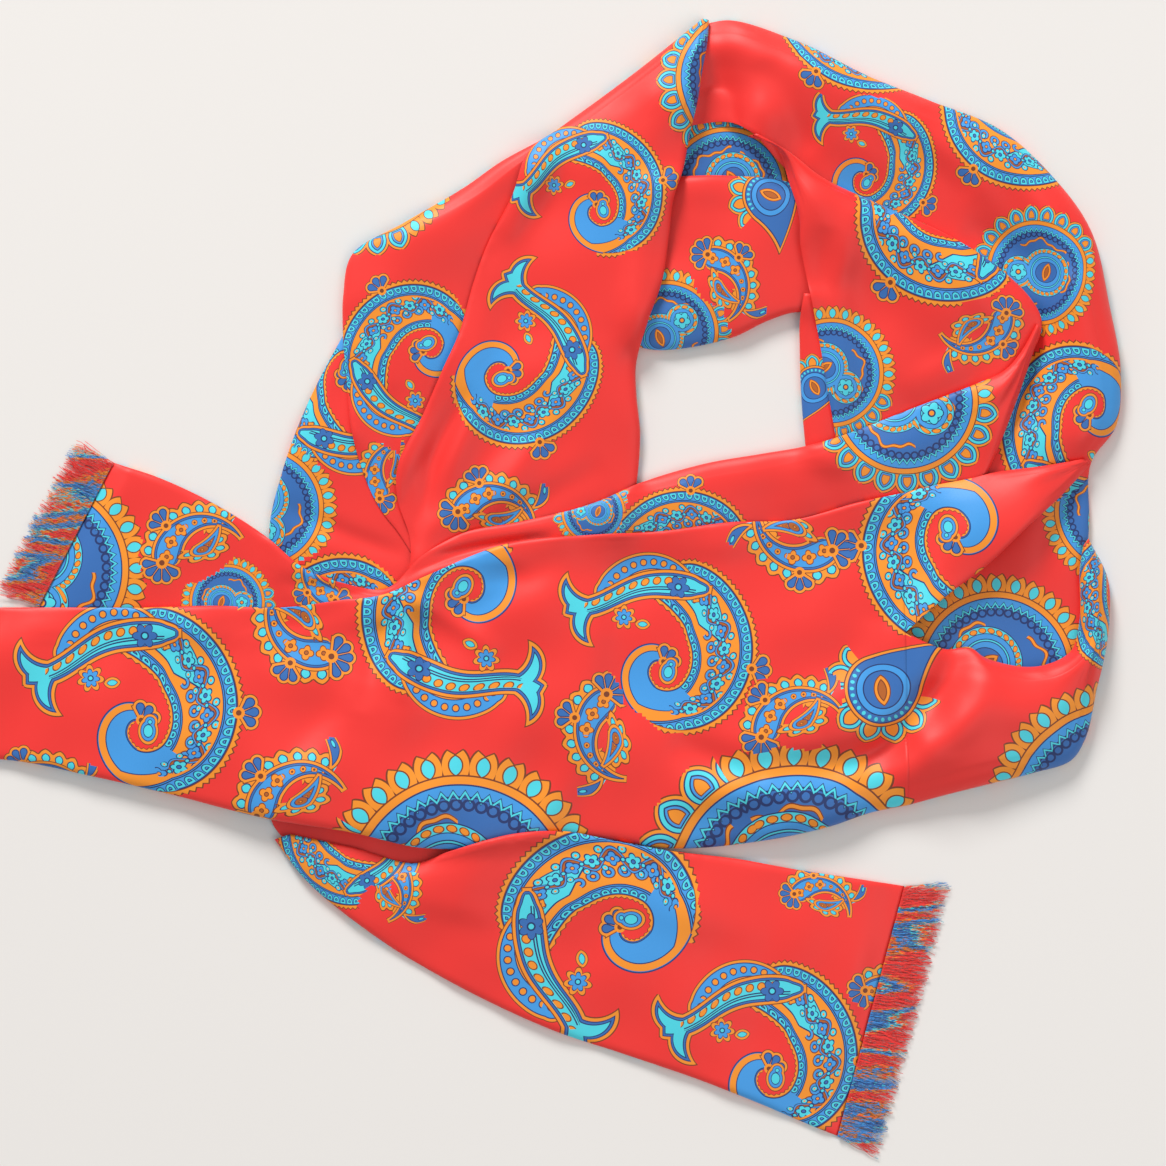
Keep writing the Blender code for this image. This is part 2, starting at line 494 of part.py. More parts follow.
def ring_mesh(name, x, y, top, bottom):
    """One closed body through the sections: over the top from edge a to edge b and back underneath."""
    rings, across = x.shape
    points, faces = [], []
    for i in range(rings):
        over = [(x[i, j], y[i, j], top[i, j]) for j in range(across)]
        back = [(x[i, j], y[i, j], bottom[i, j]) for j in range(across - 2, 0, -1)]
        points.extend(over + back)
    per_ring = 2 * across - 2
    for i in range(rings - 1):
        for j in range(per_ring):
            k = (j + 1) % per_ring
            faces.append((i * per_ring + j, i * per_ring + k, (i + 1) * per_ring + k, (i + 1) * per_ring + j))
    faces.extend(end_faces(0, across, per_ring, False))
    faces.extend(end_faces((rings - 1) * per_ring, across, per_ring, True))
    mesh = bpy.data.meshes.new(name)
    mesh.from_pydata([(MM * p[0], MM * p[1], MM * p[2]) for p in points], [], faces)
    join_flat_faces(mesh)
    return mesh


def end_faces(first, across, per_ring, last):
    """The flat end of a stretch, as strips between its upper and lower points."""
    faces = []
    for j in range(across - 1):
        corners = [first + j, first + (per_ring - j) % per_ring, first + per_ring - j - 1, first + j + 1]
        if j == 0:
            corners.pop(1)
        if j == across - 2:
            corners.pop(-2)
        faces.append(tuple(corners if not last else corners[::-1]))
    return faces


def join_flat_faces(mesh):
    """Joins the faces that lie in one plane, such as those of an underside that rests flat."""
    work = bmesh.new()
    work.from_mesh(mesh)
    flat = math.radians(FLAT_ANGLE_DEG)
    bmesh.ops.dissolve_limit(work, angle_limit=flat, verts=work.verts[:], edges=work.edges[:])
    work.to_mesh(mesh)
    work.free()


def outward(mesh):
    """Turns the faces round if the body is inside out."""
    mesh.calc_loop_triangles()
    points = np.array([v.co for v in mesh.vertices])
    corners = points[np.array([t.vertices for t in mesh.loop_triangles])]
    if np.einsum("ij,ij->i", corners[:, 0], np.cross(corners[:, 1], corners[:, 2])).sum() < 0:
        mesh.flip_normals()
    mesh.update()


def silk_material(name, colour, roughness):
    material = bpy.data.materials.new(name)
    material.use_nodes = True
    shader = material.node_tree.nodes["Principled BSDF"]
    shader.inputs["Base Color"].default_value = colour
    shader.inputs["Roughness"].default_value = roughness
    shader.inputs["Metallic"].default_value = 0.0
    shader.inputs["Sheen Weight"].default_value = 0.2
    return material


def add_object(name, mesh, material):
    outward(mesh)
    mesh.materials.append(material)
    mesh.shade_smooth()
    obj = bpy.data.objects.new(name, mesh)
    bpy.context.scene.collection.objects.link(obj)
    return obj


def fringe_mesh(name, fringe, rng):
    """A narrow strip along the cloth's end, with a strand drawn out of every other cell of its face."""
    edge_a, edge_b = np.array(fringe.end[0:2], float), np.array(fringe.end[2:4], float)
    out_a, out_b = np.array(fringe[3:5]), np.array(fringe[5:7])
    normal = np.array([edge_b[1] - edge_a[1], edge_a[0] - edge_b[0]]) / np.linalg.norm(edge_b - edge_a)
    normal *= np.sign(normal @ (out_a + out_b))
    a, b = (edge_a + (edge_b - edge_a) * s + SEAM_GAP * normal for s in (fringe.start, fringe.stop))
    length = np.linalg.norm(b - a)
    strands = int(length / STRAND_PITCH)
    pitch = length / strands
    low, high = FRINGE_CLEARANCE, FRINGE_CLEARANCE + FRINGE_STRIP_HEIGHT
    points, faces = [], []

    def place(along, out, height):
        share = along / length
        direction = out_a * (1 - share) + out_b * share
        way = normal if out <= FRINGE_STRIP_WIDTH else direction / np.linalg.norm(direction)
        x, y = a + (b - a) * share + way * out
        points.append((MM * x, MM * y, MM * height))
        return len(points) - 1

    def column(along):
        return [place(along, out, z) for out in (0.0, FRINGE_STRIP_WIDTH) for z in (low, high)]

    half = STRAND_WIDTH / 2
    stations = []
    for i in range(strands):
        middle = (i + 0.5) * pitch
        stations.extend([middle - half, middle + half])
    columns = [column(s) for s in stations]
    faces.append((columns[0][0], columns[0][1], columns[0][3], columns[0][2]))
    faces.append((columns[-1][2], columns[-1][3], columns[-1][1], columns[-1][0]))
    for i in range(len(columns) - 1):
        near, far = columns[i], columns[i + 1]
        faces.append((near[0], far[0], far[1], near[1]))
        faces.append((near[1], far[1], far[3], near[3]))
        faces.append((near[2], near[0], far[0], far[2])[::-1])
        if i % 2:
            faces.append((near[3], far[3], far[2], near[2]))
            continue
        root = [near[2], near[3], far[3], far[2]]
        reach = FRINGE_LENGTH * rng.uniform(SHORTEST_STRAND, 1.0)
        sway = rng.uniform(-STRAND_SWAY, STRAND_SWAY) * pitch
        middle = (stations[i] + stations[i + 1]) / 2
        for share, size, height in STRAND_RINGS:
            along = middle + sway * share
            out = FRINGE_STRIP_WIDTH + (reach - FRINGE_STRIP_WIDTH) * share
            wide, tall = half * size, STRAND_HEIGHT / 2 * size
            ring = [
                place(along - wide, out, height - tall),
                place(along - wide, out, height + tall),
                place(along + wide, out, height + tall),
                place(along + wide, out, height - tall),
            ]
            faces.extend((root[k], root[(k + 1) % 4], ring[(k + 1) % 4], ring[k]) for k in range(4))
            root = ring
        faces.append(tuple(root))
    mesh = bpy.data.meshes.new(name)
    mesh.from_pydata(points, [], faces)
    return mesh


def main():
    for obj in list(bpy.data.objects):
        bpy.data.objects.remove(obj)
    silk = silk_material("printed_silk", RED_SILK, 0.45)
    thread = silk_material("fringe_thread", FRINGE_THREAD, 0.6)
    tops, tables = {}, {}
    empty = height_grid(*np.zeros((3, 2, 2)))
    for stretch in STRETCHES:
        tables[stretch.name] = stretch.sections
        support = np.maximum.reduce([empty] + [tops[name] for name in stretch.lies_on])
        x, y, top, bottom = stretch_surfaces(stretch, support, tables)
        add_object(stretch.name, ring_mesh(stretch.name, x, y, top, bottom), silk)
        tops[stretch.name] = height_grid(x, y, top)
    rng = np.random.default_rng(STRANDS_SEED)
    for name, fringe in FRINGES.items():
        add_object(name, fringe_mesh(name, fringe, rng), thread)


main()
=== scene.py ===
"""The looks of a long printed silk scarf laid in one loose loop: its cloth, print, fringe, floor and light.

The cloth is a set of stretches, as in the solids that they stand for. Each stretch is a closed soft shell
through a table of sections, lying on the stretches below it. The print is painted by shader nodes in the
cloth's own flat coordinates, and the fringe is made of threads by a node group.
"""

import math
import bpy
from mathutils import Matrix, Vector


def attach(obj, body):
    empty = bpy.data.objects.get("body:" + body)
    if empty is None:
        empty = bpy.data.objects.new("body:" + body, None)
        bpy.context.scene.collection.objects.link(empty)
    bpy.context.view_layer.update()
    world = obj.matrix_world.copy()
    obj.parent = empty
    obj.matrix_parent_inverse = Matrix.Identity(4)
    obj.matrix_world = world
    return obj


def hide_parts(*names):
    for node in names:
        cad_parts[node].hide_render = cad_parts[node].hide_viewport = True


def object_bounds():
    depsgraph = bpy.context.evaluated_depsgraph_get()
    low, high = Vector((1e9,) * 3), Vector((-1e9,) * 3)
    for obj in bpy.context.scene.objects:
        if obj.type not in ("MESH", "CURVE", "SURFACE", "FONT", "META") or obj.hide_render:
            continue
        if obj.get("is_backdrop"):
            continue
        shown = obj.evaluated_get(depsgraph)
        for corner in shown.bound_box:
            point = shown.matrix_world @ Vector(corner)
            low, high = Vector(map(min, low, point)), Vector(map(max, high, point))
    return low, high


bl_info = {
    "name": "Printed silk scarf",
    "version": (1, 0, 0),
    "blender": (4, 5, 0),
    "location": "View3D > Sidebar > Scarf",
    "description": "Builds a long printed silk scarf laid in a loose loop, with its floor, light and camera",
    "category": "Object",
}

from collections import namedtuple

import bmesh
import bpy
import numpy as np
from mathutils import Vector

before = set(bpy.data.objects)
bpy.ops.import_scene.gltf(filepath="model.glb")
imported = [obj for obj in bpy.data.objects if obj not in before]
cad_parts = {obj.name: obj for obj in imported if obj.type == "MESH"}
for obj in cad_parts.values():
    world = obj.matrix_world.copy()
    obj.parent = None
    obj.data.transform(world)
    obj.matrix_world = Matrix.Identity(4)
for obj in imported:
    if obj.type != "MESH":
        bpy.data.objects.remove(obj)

MM = 0.001
PIECE_PREFIX = "cloth_"
UV_MAP = "cloth"
MOTIF_MAP = "motif"

# Every place and length of the cloth is in millimetres, in the frame of the solids: X to the right of the
# picture, Y up the picture, and heights above the surface.

# The shells: how thin the cloth may get, its rolled rims and its cut ends.
LEAST_WALL = 0.9
LEAST_BODY_SHARE = 0.35  # what is left of the cloth's own height where it is pressed on what it crosses
RIM_MOST_OF_WIDTH = 0.8
RIM_STEPS = 5
END_TAPER = 14.0
END_THICKNESS = 1.4
SMOOTHING_PASSES = 3

# What a stretch lies on, held as a grid of heights, and how closely and how softly it follows that.
SEAM_GAP = 0.3
SUPPORT_STEP = 1.0
SUPPORT_HALF_X = 400.0
SUPPORT_HALF_Y = 360.0
SAMPLES_PER_CELL = 4
SUPPORT_REACH = 3.0
SUPPORT_EASE = 4.0
SUPPORT_SOFTNESS = 5.0
FLOOR_SOFTNESS = 1.5
SETTLE_REACH = 5.0

# Where one stretch grows out of another: how far on its height and its print are evened out, and how many
# rows back and how deep its first row lies inside the other.
GROWTH = 22.0
PRINT_GROWTH = 30.0
TUCKED_ROWS = 2
TUCKED_DEPTH = 0.12

# The creases' samples and fading ends, and the slow waves of cloth that isn't pressed, turned by radians.
CREASE_SAMPLES = 25
CREASE_END_POWER = 0.7
PUFF_SHARE = 1.7
Wave = namedtuple("Wave", "turn length height bend start")
PUFF = [
    Wave(0.35, 92.0, 0.45, 9.0, 0.4),
    Wave(1.25, 61.0, 0.32, 7.0, 2.1),
    Wave(2.2, 47.0, 0.22, 5.0, 4.4),
    Wave(2.9, 31.0, 0.12, 4.0, 1.2),
]

# The line across a stretch, as a share of its width, on which the print keeps its place.
KEPT_LINE = {"front_lap": 0.445, "turn_roll": 0.0, "front_flap": 1.0}
KEPT_LINE_ELSEWHERE = 0.5

# The dyes, as linear colours.
PALETTE = {
    "ground": (0.90, 0.038, 0.032),
    "ground_deep": (0.84, 0.026, 0.025),
    "orange": (0.92, 0.30, 0.022),
    "royal": (0.036, 0.155, 0.47),
    "sky": (0.055, 0.33, 0.78),
    "turquoise": (0.075, 0.68, 0.80),
    "brown": (0.20, 0.045, 0.014),
    "navy": (0.014, 0.035, 0.15),
    "rust": (0.46, 0.12, 0.018),
}
GROUND_CLOUD_SCALE = 9.0

# The silk: the ribs of its twill, pitch in millimetres and bump in metres, its uneven gloss and its sheen.
TWILL_PITCH = 0.55
TWILL_CROSS_PITCH = 2.3 * TWILL_PITCH
TWILL_SLANT = 0.6
TWILL_BUMP = 0.12
TWILL_DEPTH = 0.0002
SILK_ROUGHNESS = 0.46
SILK_ROUGHNESS_SPREAD = 0.16
SILK_CLOUD_SCALE = 22.0
SILK_SPECULAR = 0.4
SILK_SHEEN = 0.22
SILK_SHEEN_ROUGHNESS = 0.35
SILK_SHEEN_TINT = (1.0, 0.75, 0.68, 1.0)

# The print: the width of its outlines in millimetres, the spiral of the paisley, and how far the paisley
# reaches outside and inside that spiral, by its turn in radians.
LINE = 0.62
PAISLEY_START = 5.13
PAISLEY_GROWTH = 0.285
PAISLEY_OUTER = (
    (0.3, 0.0), (0.8, 0.3), (1.57, 0.48), (2.36, 0.55), (3.14, 0.55), (3.93, 0.52), (4.71, 0.52),
    (5.5, 0.56), (6.28, 0.54), (7.07, 0.49), (7.5, 0.44), (7.85, 0.3), (8.3, 0.0),
)
PAISLEY_INNER = (
    (0.3, 0.0), (0.8, 0.3), (1.57, 0.45), (2.36, 0.5), (3.14, 0.58), (3.93, 0.6), (4.71, 0.5),
    (5.5, 0.48), (6.28, 0.54), (7.07, 0.5), (7.5, 0.36), (7.85, 0.24), (8.3, 0.0),
)

# The fringe, in metres: two layers of threads, one over the other, and the size and wave of a thread.
FRINGE_LAYERS = (0.0022, 0.0013)
FRINGE_LINE_STEPS = 12
FRINGE_SEED = 11
FRINGE_DIP = -0.03  # the upward part of the threads' direction
THREAD_LENGTH = 0.026
THREAD_SPACING = 0.0003
THREAD_RADIUS = 0.00017
THREAD_RAGGEDNESS = 0.3  # how much shorter the shortest threads are, as a share
THREAD_LEAN = 0.2  # how far a thread turns to either side, in radians
THREAD_STEPS = 7
THREAD_SIDES = 3
THREAD_CLEARANCE = 1.5  # how high a thread's points stay above the surface, in radii
THREAD_WAVE = 0.0022
THREAD_WAVE_SCALE = 260.0
THREAD_WAVE_REACH = (2.6, 2.6, 0.9)

# The dyes along a fringed end: the scales of its patches and of its single threads, and where each starts.
PATCH_SCALE = 62.0
SINGLE_THREAD_SCALE = 1500.0
ALONG_THREAD_SHARE = 0.16
THREAD_ROUGHNESS = 0.5
THREAD_DYES = (
    (0.42, "orange"), (0.45, "rust"), (0.47, "sky"), (0.52, "royal"), (0.57, "turquoise"), (0.6, "orange"),
    (0.63, "ground"),
)

# The stage, in metres: the pale surface just under the cloth, the light and the camera straight above.
SURFACE_HALF = 4.0
SURFACE_DROP = 0.0003
SURFACE_ROUGHNESS = 0.85
CLOTH_MEAN_HEIGHT = 0.012
VIEW_CENTRE = (0.0484, 0.0005)
SENSOR_WIDTH = 36.0  # in millimetres, as the camera has it
WORLD_COLOUR = (1.0, 0.985, 0.97, 1.0)
WORLD_STRENGTH = 0.48
Lamp = namedtuple("Lamp", "name place aim size share colour")
LAMPS = [
    Lamp("key", (-1.6, 5.1, 2.9), (0, 0, 0), 1.9, 1.0, (1.0, 0.985, 0.965)),
    Lamp("fill", (1.6, -0.9, 2.4), (0, 0, 0), 2.0, 0.045, (0.98, 0.99, 1.0)),
]

# One section of a stretch. near, mid and far are the cloth's height above what it lies on, a quarter,
# a half and three quarters of the way from edge a to edge b. rim_a and rim_b are the thickness of the
# rolled edges, and lift_a and lift_b the free height under them.
Section = namedtuple("Section", "ax ay bx by near mid far rim_a rim_b lift_a lift_b", defaults=(0, 0))

BAND_INSIDE = [
    Section(84, 272, 84, 214, 2.0, 2.0, 2.0, 2.0, 2.0),
    Section(124, 270, 124, 212, 2.0, 2.0, 2.0, 2.0, 2.0),
    Section(158, 262, 158, 206, 2.0, 2.0, 2.0, 2.0, 2.0),
    Section(186, 246, 186, 200, 2.0, 2.0, 2.0, 2.0, 2.0),
]
BACK_BAND = [
    Section(80, 224, 70, 133, 8.0, 8.0, 8.0, 5.0, 6.0),
    Section(107, 225, 91, 129, 9.0, 9.0, 10.0, 5.0, 7.0),
    Section(132, 225, 131, 136, 9.0, 10.0, 10.0, 5.0, 7.0),
    Section(157, 223, 150, 145, 9.0, 10.0, 9.0, 5.0, 6.0),
    Section(184, 214, 168, 150, 8.0, 8.0, 8.0, 4.0, 6.0),
    Section(202, 206, 189, 147, 7.0, 7.0, 7.0, 4.0, 5.0),
]
SIDE_BAND = [
    Section(170, 160, 196, 158, 4.0, 4.0, 4.0, 4.0, 3.0),
    Section(168, 146, 195, 144, 6.0, 6.0, 6.0, 5.0, 4.0),
    Section(168, 129, 195, 129, 6.0, 7.0, 6.0, 5.0, 4.0),
    Section(169, 101, 195, 101, 6.0, 7.0, 6.0, 5.0, 4.0),
    Section(172, 67, 195, 63, 5.0, 5.0, 5.0, 4.0, 3.0),
]
OUTER_LIMB = [
    Section(97, 251, 113, 309, 5.0, 9.0, 13.0, 3.0, 6.0, 0, 0),
    Section(124, 255, 132, 311, 5.0, 9.0, 13.0, 3.0, 7.0, 1, 0),
    Section(140, 249, 168, 299, 8.0, 12.0, 13.0, 3.0, 8.0, 9, 0),
    Section(162, 227, 204, 281, 7.0, 12.0, 14.0, 3.0, 9.0, 3, 0),
    Section(187, 208, 239, 267, 6.0, 11.0, 15.0, 3.0, 9.0),
    Section(212, 192, 278, 251, 5.0, 9.0, 16.0, 3.0, 10.0),
    Section(239, 177, 309, 223, 5.0, 8.0, 16.0, 3.0, 10.0),
    Section(262, 156, 329, 194, 4.0, 6.0, 16.0, 3.0, 10.0),
    Section(271, 129, 339, 153, 4.0, 8.0, 17.0, 3.0, 10.0),
    Section(268, 103, 345, 118, 5.0, 12.0, 17.0, 3.0, 10.0),
    Section(265, 78, 343, 88, 5.0, 12.0, 14.0, 3.0, 8.0),
    Section(260, 48, 329, 67, 4.0, 8.0, 9.0, 3.0, 6.0),
    Section(246, 16, 328, 35, 4.0, 6.0, 7.0, 3.0, 5.0),
    Section(224, -14, 327, 4, 3.0, 4.0, 5.0, 2.5, 4.0),
    Section(214, -40, 331, -24, 2.5, 3.0, 3.0, 2.5, 3.0),
    Section(216, -60, 330, -46, 2.5, 2.5, 2.5, 2.5, 2.5),
]
LIMB_LOW = [
    Section(-82, 141, -70, 135, 4.0, 4.0, 4.0, 3.5, 3.0),
    Section(-92, 123, -68, 119, 6.0, 5.5, 5.0, 5.0, 3.0),
    Section(-107, 92, -67, 90, 6.5, 6.0, 5.0, 5.0, 3.0),
    Section(-118, 61, -62, 63, 6.5, 6.0, 5.0, 5.0, 3.0),
    Section(-125, 28, -51, 32, 5.0, 5.0, 4.0, 4.0, 3.0),
    Section(-121, 2, -41, 5, 4.0, 4.0, 3.5, 3.5, 3.0),
    Section(-112, -22, -38, -20, 3.0, 3.0, 3.0, 3.0, 3.0),
]
LIMB_MID = [
    Section(25, 245, 37, 239, 4.0, 4.0, 4.0, 4.0, 3.0),
    Section(3, 233, 28, 218, 8.0, 7.0, 6.0, 7.0, 3.0),
    Section(-17, 219, 18, 200, 10.0, 8.0, 6.0, 8.0, 3.0),
    Section(-51, 199, 9, 183, 11.0, 10.0, 7.0, 8.0, 3.0),
    Section(-79, 182, 6, 165, 10.0, 10.0, 7.0, 7.0, 3.0),
    Section(-84, 159, -1, 150, 10.0, 9.0, 7.0, 7.0, 3.0),
    Section(-84, 137, -8, 131, 7.0, 8.0, 6.0, 5.0, 3.0),
    Section(-82, 113, -18, 109, 5.5, 7.0, 6.0, 4.0, 3.0),
    Section(-78, 79, -36, 79, 5.0, 6.0, 5.0, 3.5, 3.0),
    Section(-64, 42, -41, 41, 4.5, 5.0, 4.5, 3.5, 3.0),
    Section(-54, 29, -36, 21, 4.0, 4.0, 4.0, 3.0, 3.0),
    Section(-42, 10, -27, 2, 3.5, 3.5, 3.5, 3.0, 3.0),
]
LIMB_TOP = [
    Section(114, 311.7, 118, 310.9, 6.0, 6.0, 6.0, 5.0, 5.0),
    Section(102, 302, 117, 299, 10.0, 10.0, 9.0, 7.0, 5.0),
    Section(82, 286, 114, 282, 11.0, 12.0, 10.0, 8.0, 6.0, 0, 2),
    Section(58, 268, 111, 263, 11.0, 13.0, 11.0, 8.0, 6.0, 0, 4),
    Section(36, 252, 107, 247, 11.0, 13.0, 12.0, 8.0, 6.0, 0, 5),
    Section(19, 239, 104, 230, 9.0, 13.0, 12.0, 5.0, 6.0, 0, 4),
    Section(9, 213, 98, 211, 7.0, 11.0, 12.0, 3.0, 6.0, 0, 3),
    Section(-3, 190, 96, 194, 7.0, 10.0, 11.0, 3.0, 6.0, 0, 2),
    Section(-12, 166, 92, 167, 7.0, 10.0, 11.0, 3.5, 7.0),
    Section(-20, 138, 84, 144, 7.0, 10.0, 11.0, 3.5, 8.0),
    Section(-29, 118, 78, 123, 7.0, 10.0, 11.0, 3.5, 8.0),
    Section(-41, 91, 78, 104, 7.0, 9.0, 10.0, 4.0, 8.0),
    Section(-53, 68, 80, 82, 6.0, 8.0, 9.0, 4.0, 7.0),
    Section(-54, 47, 78, 55, 5.0, 7.0, 8.0, 3.5, 6.0),
    Section(-47, 24, 74, 32, 4.5, 5.0, 5.0, 3.5, 4.0),
    Section(-52, -9, 63, -3, 4.5, 4.5, 4.5, 3.5, 3.5),
    Section(-82, -64, 58, -58, 4.5, 4.5, 4.5, 3.5, 3.5),
    Section(-116, -108, 50, -105, 4.5, 4.5, 4.5, 3.5, 3.5),
    Section(-121, -136, 20, -148, 3.5, 4.0, 4.0, 3.0, 3.0),
    Section(-110, -147, 8, -164, 3.0, 3.0, 3.0, 2.5, 2.0),
    Section(-88, -164, -2, -188, 2.5, 3.0, 2.5, 2.0, 2.0),
]
INNER_FOLD = [
    Section(139, 246, 144, 247, 5.0, 5.0, 5.0, 3.0, 3.0, 4, 4),
    Section(155, 239, 163, 237, 7.0, 8.0, 7.0, 3.0, 4.0, 4, 2),
    Section(162, 220, 180, 224, 9.0, 10.0, 9.0, 3.5, 5.0, 4, 1),
    Section(167, 202, 210, 210, 10.0, 12.0, 11.0, 3.5, 5.0, 4, 0),
    Section(168, 186, 248, 193, 11.0, 13.0, 12.0, 3.5, 6.0, 3, 0),
    Section(174, 156, 278, 174, 10.0, 14.0, 13.0, 3.5, 7.0, 2, 0),
    Section(179, 131, 296, 156, 9.0, 13.0, 13.0, 3.5, 7.0, 1, 0),
    Section(184, 101, 301, 140, 8.0, 9.0, 8.0, 3.5, 5.0),
    Section(189, 74, 284, 106, 4.0, 4.0, 4.0, 3.0, 3.5),
]
FRONT_UNDER = [
    Section(-211, 67, -260, -29, 4.5, 4.5, 3.5, 3.5, 3.0),
    Section(-184, 58, -217, -31, 5.5, 5.0, 4.0, 4.5, 3.0),
    Section(-153, 43, -173, -31, 5.5, 5.0, 4.0, 4.5, 3.0),
    Section(-125, 25, -132, -31, 5.0, 4.5, 4.0, 4.0, 3.0),
    Section(-104, 8, -102, -29, 4.5, 4.0, 4.0, 3.5, 3.0),
    Section(-82, 0, -80, -24, 3.5, 3.5, 3.5, 3.0, 3.0),
    Section(-59, -2, -55, -19, 3.5, 3.5, 3.5, 3.0, 3.0),
    Section(-41, 15, -36, -11, 4.0, 4.0, 3.5, 3.0, 3.0),
    Section(-18, 28, -14, -1, 4.5, 4.5, 4.0, 3.0, 3.0),
    Section(12, 34, 16, 8, 4.5, 4.5, 4.0, 3.0, 3.0),
    Section(58, 46, 66, 12, 5.5, 5.0, 4.0, 3.5, 3.0),
    Section(78, 55, 88, 13, 7.0, 6.0, 4.5, 5.0, 3.0),
    Section(114, 66, 119, 16, 9.0, 8.0, 5.0, 7.0, 3.0),
    Section(148, 72, 154, 20, 9.5, 8.0, 5.0, 7.0, 3.0),
    Section(171, 76, 179, 23, 9.0, 8.0, 5.0, 6.0, 3.0),
    Section(186, 80, 195, 28, 8.0, 7.0, 5.0, 4.0, 3.0),
    Section(205, 87, 220, 33, 8.0, 7.0, 5.0, 3.5, 3.0),
    Section(228, 96, 245, 40, 9.0, 8.0, 5.0, 3.5, 3.0),
    Section(249, 104, 261, 46, 9.0, 8.5, 6.0, 3.5, 3.0),
    Section(267, 111, 271, 61, 9.0, 9.0, 7.0, 3.5, 4.0),
    Section(281, 118, 284, 92, 8.0, 8.0, 8.0, 3.5, 5.0),
    Section(291, 130, 294, 120, 6.0, 6.0, 6.0, 4.0, 5.0),
    Section(298, 143, 300, 141, 4.0, 4.0, 4.0, 3.5, 4.0),
]
FRONT_LAP = [
    Section(-277, -13, -324, -98, 5.0, 5.0, 4.5, 3.0, 4.0),
    Section(-239, -13, -272, -97, 6.0, 6.0, 6.0, 3.0, 5.0),
    Section(-195, -13, -223, -106, 6.5, 7.0, 7.0, 3.0, 6.0, 0, 2),
    Section(-156, -12, -179, -116, 6.5, 8.0, 8.0, 3.0, 6.0, 0, 4),
    Section(-118, -13, -127, -129, 6.5, 8.0, 8.5, 3.0, 7.0, 0, 5),
    Section(-86, -9, -78, -137, 6.5, 8.0, 8.5, 3.0, 7.0, 0, 5),
    Section(-59, -5, -43, -145, 6.0, 8.0, 8.5, 3.0, 7.0, 0, 4),
    Section(-39, 4, -21, -146, 6.0, 8.0, 9.0, 3.0, 7.0, 0, 2),
    Section(10, 23, 25, -142, 6.5, 8.0, 9.0, 3.0, 7.0),
    Section(52, 27, 58, -141, 7.0, 9.0, 10.0, 3.0, 7.0),
    Section(91, 29, 100, -146, 8.0, 10.0, 13.0, 3.5, 9.0),
    Section(129, 34, 146, -142, 9.0, 11.0, 16.0, 3.5, 10.0),
    Section(168, 36, 184, -134, 9.0, 11.0, 18.0, 3.5, 11.0),
    Section(200, 45, 208, -126, 9.0, 11.0, 19.0, 3.5, 11.0),
    Section(224, 50, 228, -122, 9.0, 12.0, 20.0, 3.5, 11.0),
]
FRONT_FLAP = [
    Section(224, 50, 225.78, -26.54, 8.0, 9.0, 8.0, 3.5, 4.0),
    Section(240, 54, 249, -6, 8.0, 9.0, 8.0, 3.5, 4.5, 0, 6),
    Section(261, 58, 269, 9, 8.0, 9.0, 8.0, 3.5, 4.5, 0, 9),
    Section(278, 62, 293, 32, 7.0, 8.0, 7.0, 3.5, 4.5, 0, 9),
    Section(302, 65, 312, 49, 6.0, 6.0, 6.0, 3.5, 4.0, 0, 4),
    Section(325, 69, 328, 66, 3.5, 3.5, 3.5, 3.0, 3.0),
]
TURN_ROLL = [
    Section(225.78, -26.54, 228, -122, 13.0, 19.0, 18.0, 7.0, 11.0),
    Section(237, -32, 250, -116, 15.0, 20.0, 18.0, 7.0, 11.0),
    Section(249, -36, 274, -110, 16.0, 20.0, 18.0, 8.0, 11.0),
    Section(262, -35, 298, -104, 17.0, 20.0, 17.0, 8.0, 10.0),
    Section(271, -41, 317, -98, 17.0, 19.0, 16.0, 9.0, 9.0),
    Section(286, -45, 325, -87, 16.0, 18.0, 14.0, 9.0, 8.0),
    Section(305, -44, 332, -58, 14.0, 16.0, 14.0, 9.0, 8.0),
    Section(318, -36, 337, -36, 13.0, 14.0, 12.0, 8.0, 8.0),
    Section(322, -20, 339, -18, 12.0, 13.0, 11.0, 7.0, 8.0),
    Section(322, 9, 336, 9, 9.0, 10.0, 9.0, 6.0, 6.0),
    Section(324, 21, 327, 25, 5.0, 5.0, 5.0, 4.0, 4.0),
]
TAIL = [
    Section(-113, -138, -122, -141, 4.0, 4.0, 4.0, 3.0, 3.0),
    Section(-80, -145, -107, -161, 5.0, 5.0, 5.0, 3.0, 4.0),
    Section(-44, -154, -86, -180, 6.0, 6.0, 6.0, 4.0, 5.0),
    Section(-25, -147, -63, -197, 9.0, 8.0, 7.0, 6.0, 5.0),
    Section(6, -138, -37, -213, 10.0, 9.0, 7.0, 6.0, 5.0),
    Section(36, -136, -3, -231, 11.0, 10.0, 7.0, 6.0, 5.0),
    Section(64, -141, 33, -247, 10.0, 9.0, 7.0, 6.0, 5.0),
    Section(96, -147, 69, -259, 8.0, 8.0, 7.0, 6.0, 5.0),
    Section(135, -152, 113, -274, 7.0, 7.0, 6.5, 6.0, 5.0),
    Section(168, -158, 146, -287, 6.0, 6.5, 6.0, 5.0, 5.0),
    Section(201, -163, 174, -299, 5.0, 5.0, 5.0, 4.0, 4.0),
    Section(226, -167, 189, -305, 4.0, 4.0, 4.0, 3.0, 3.0),
]

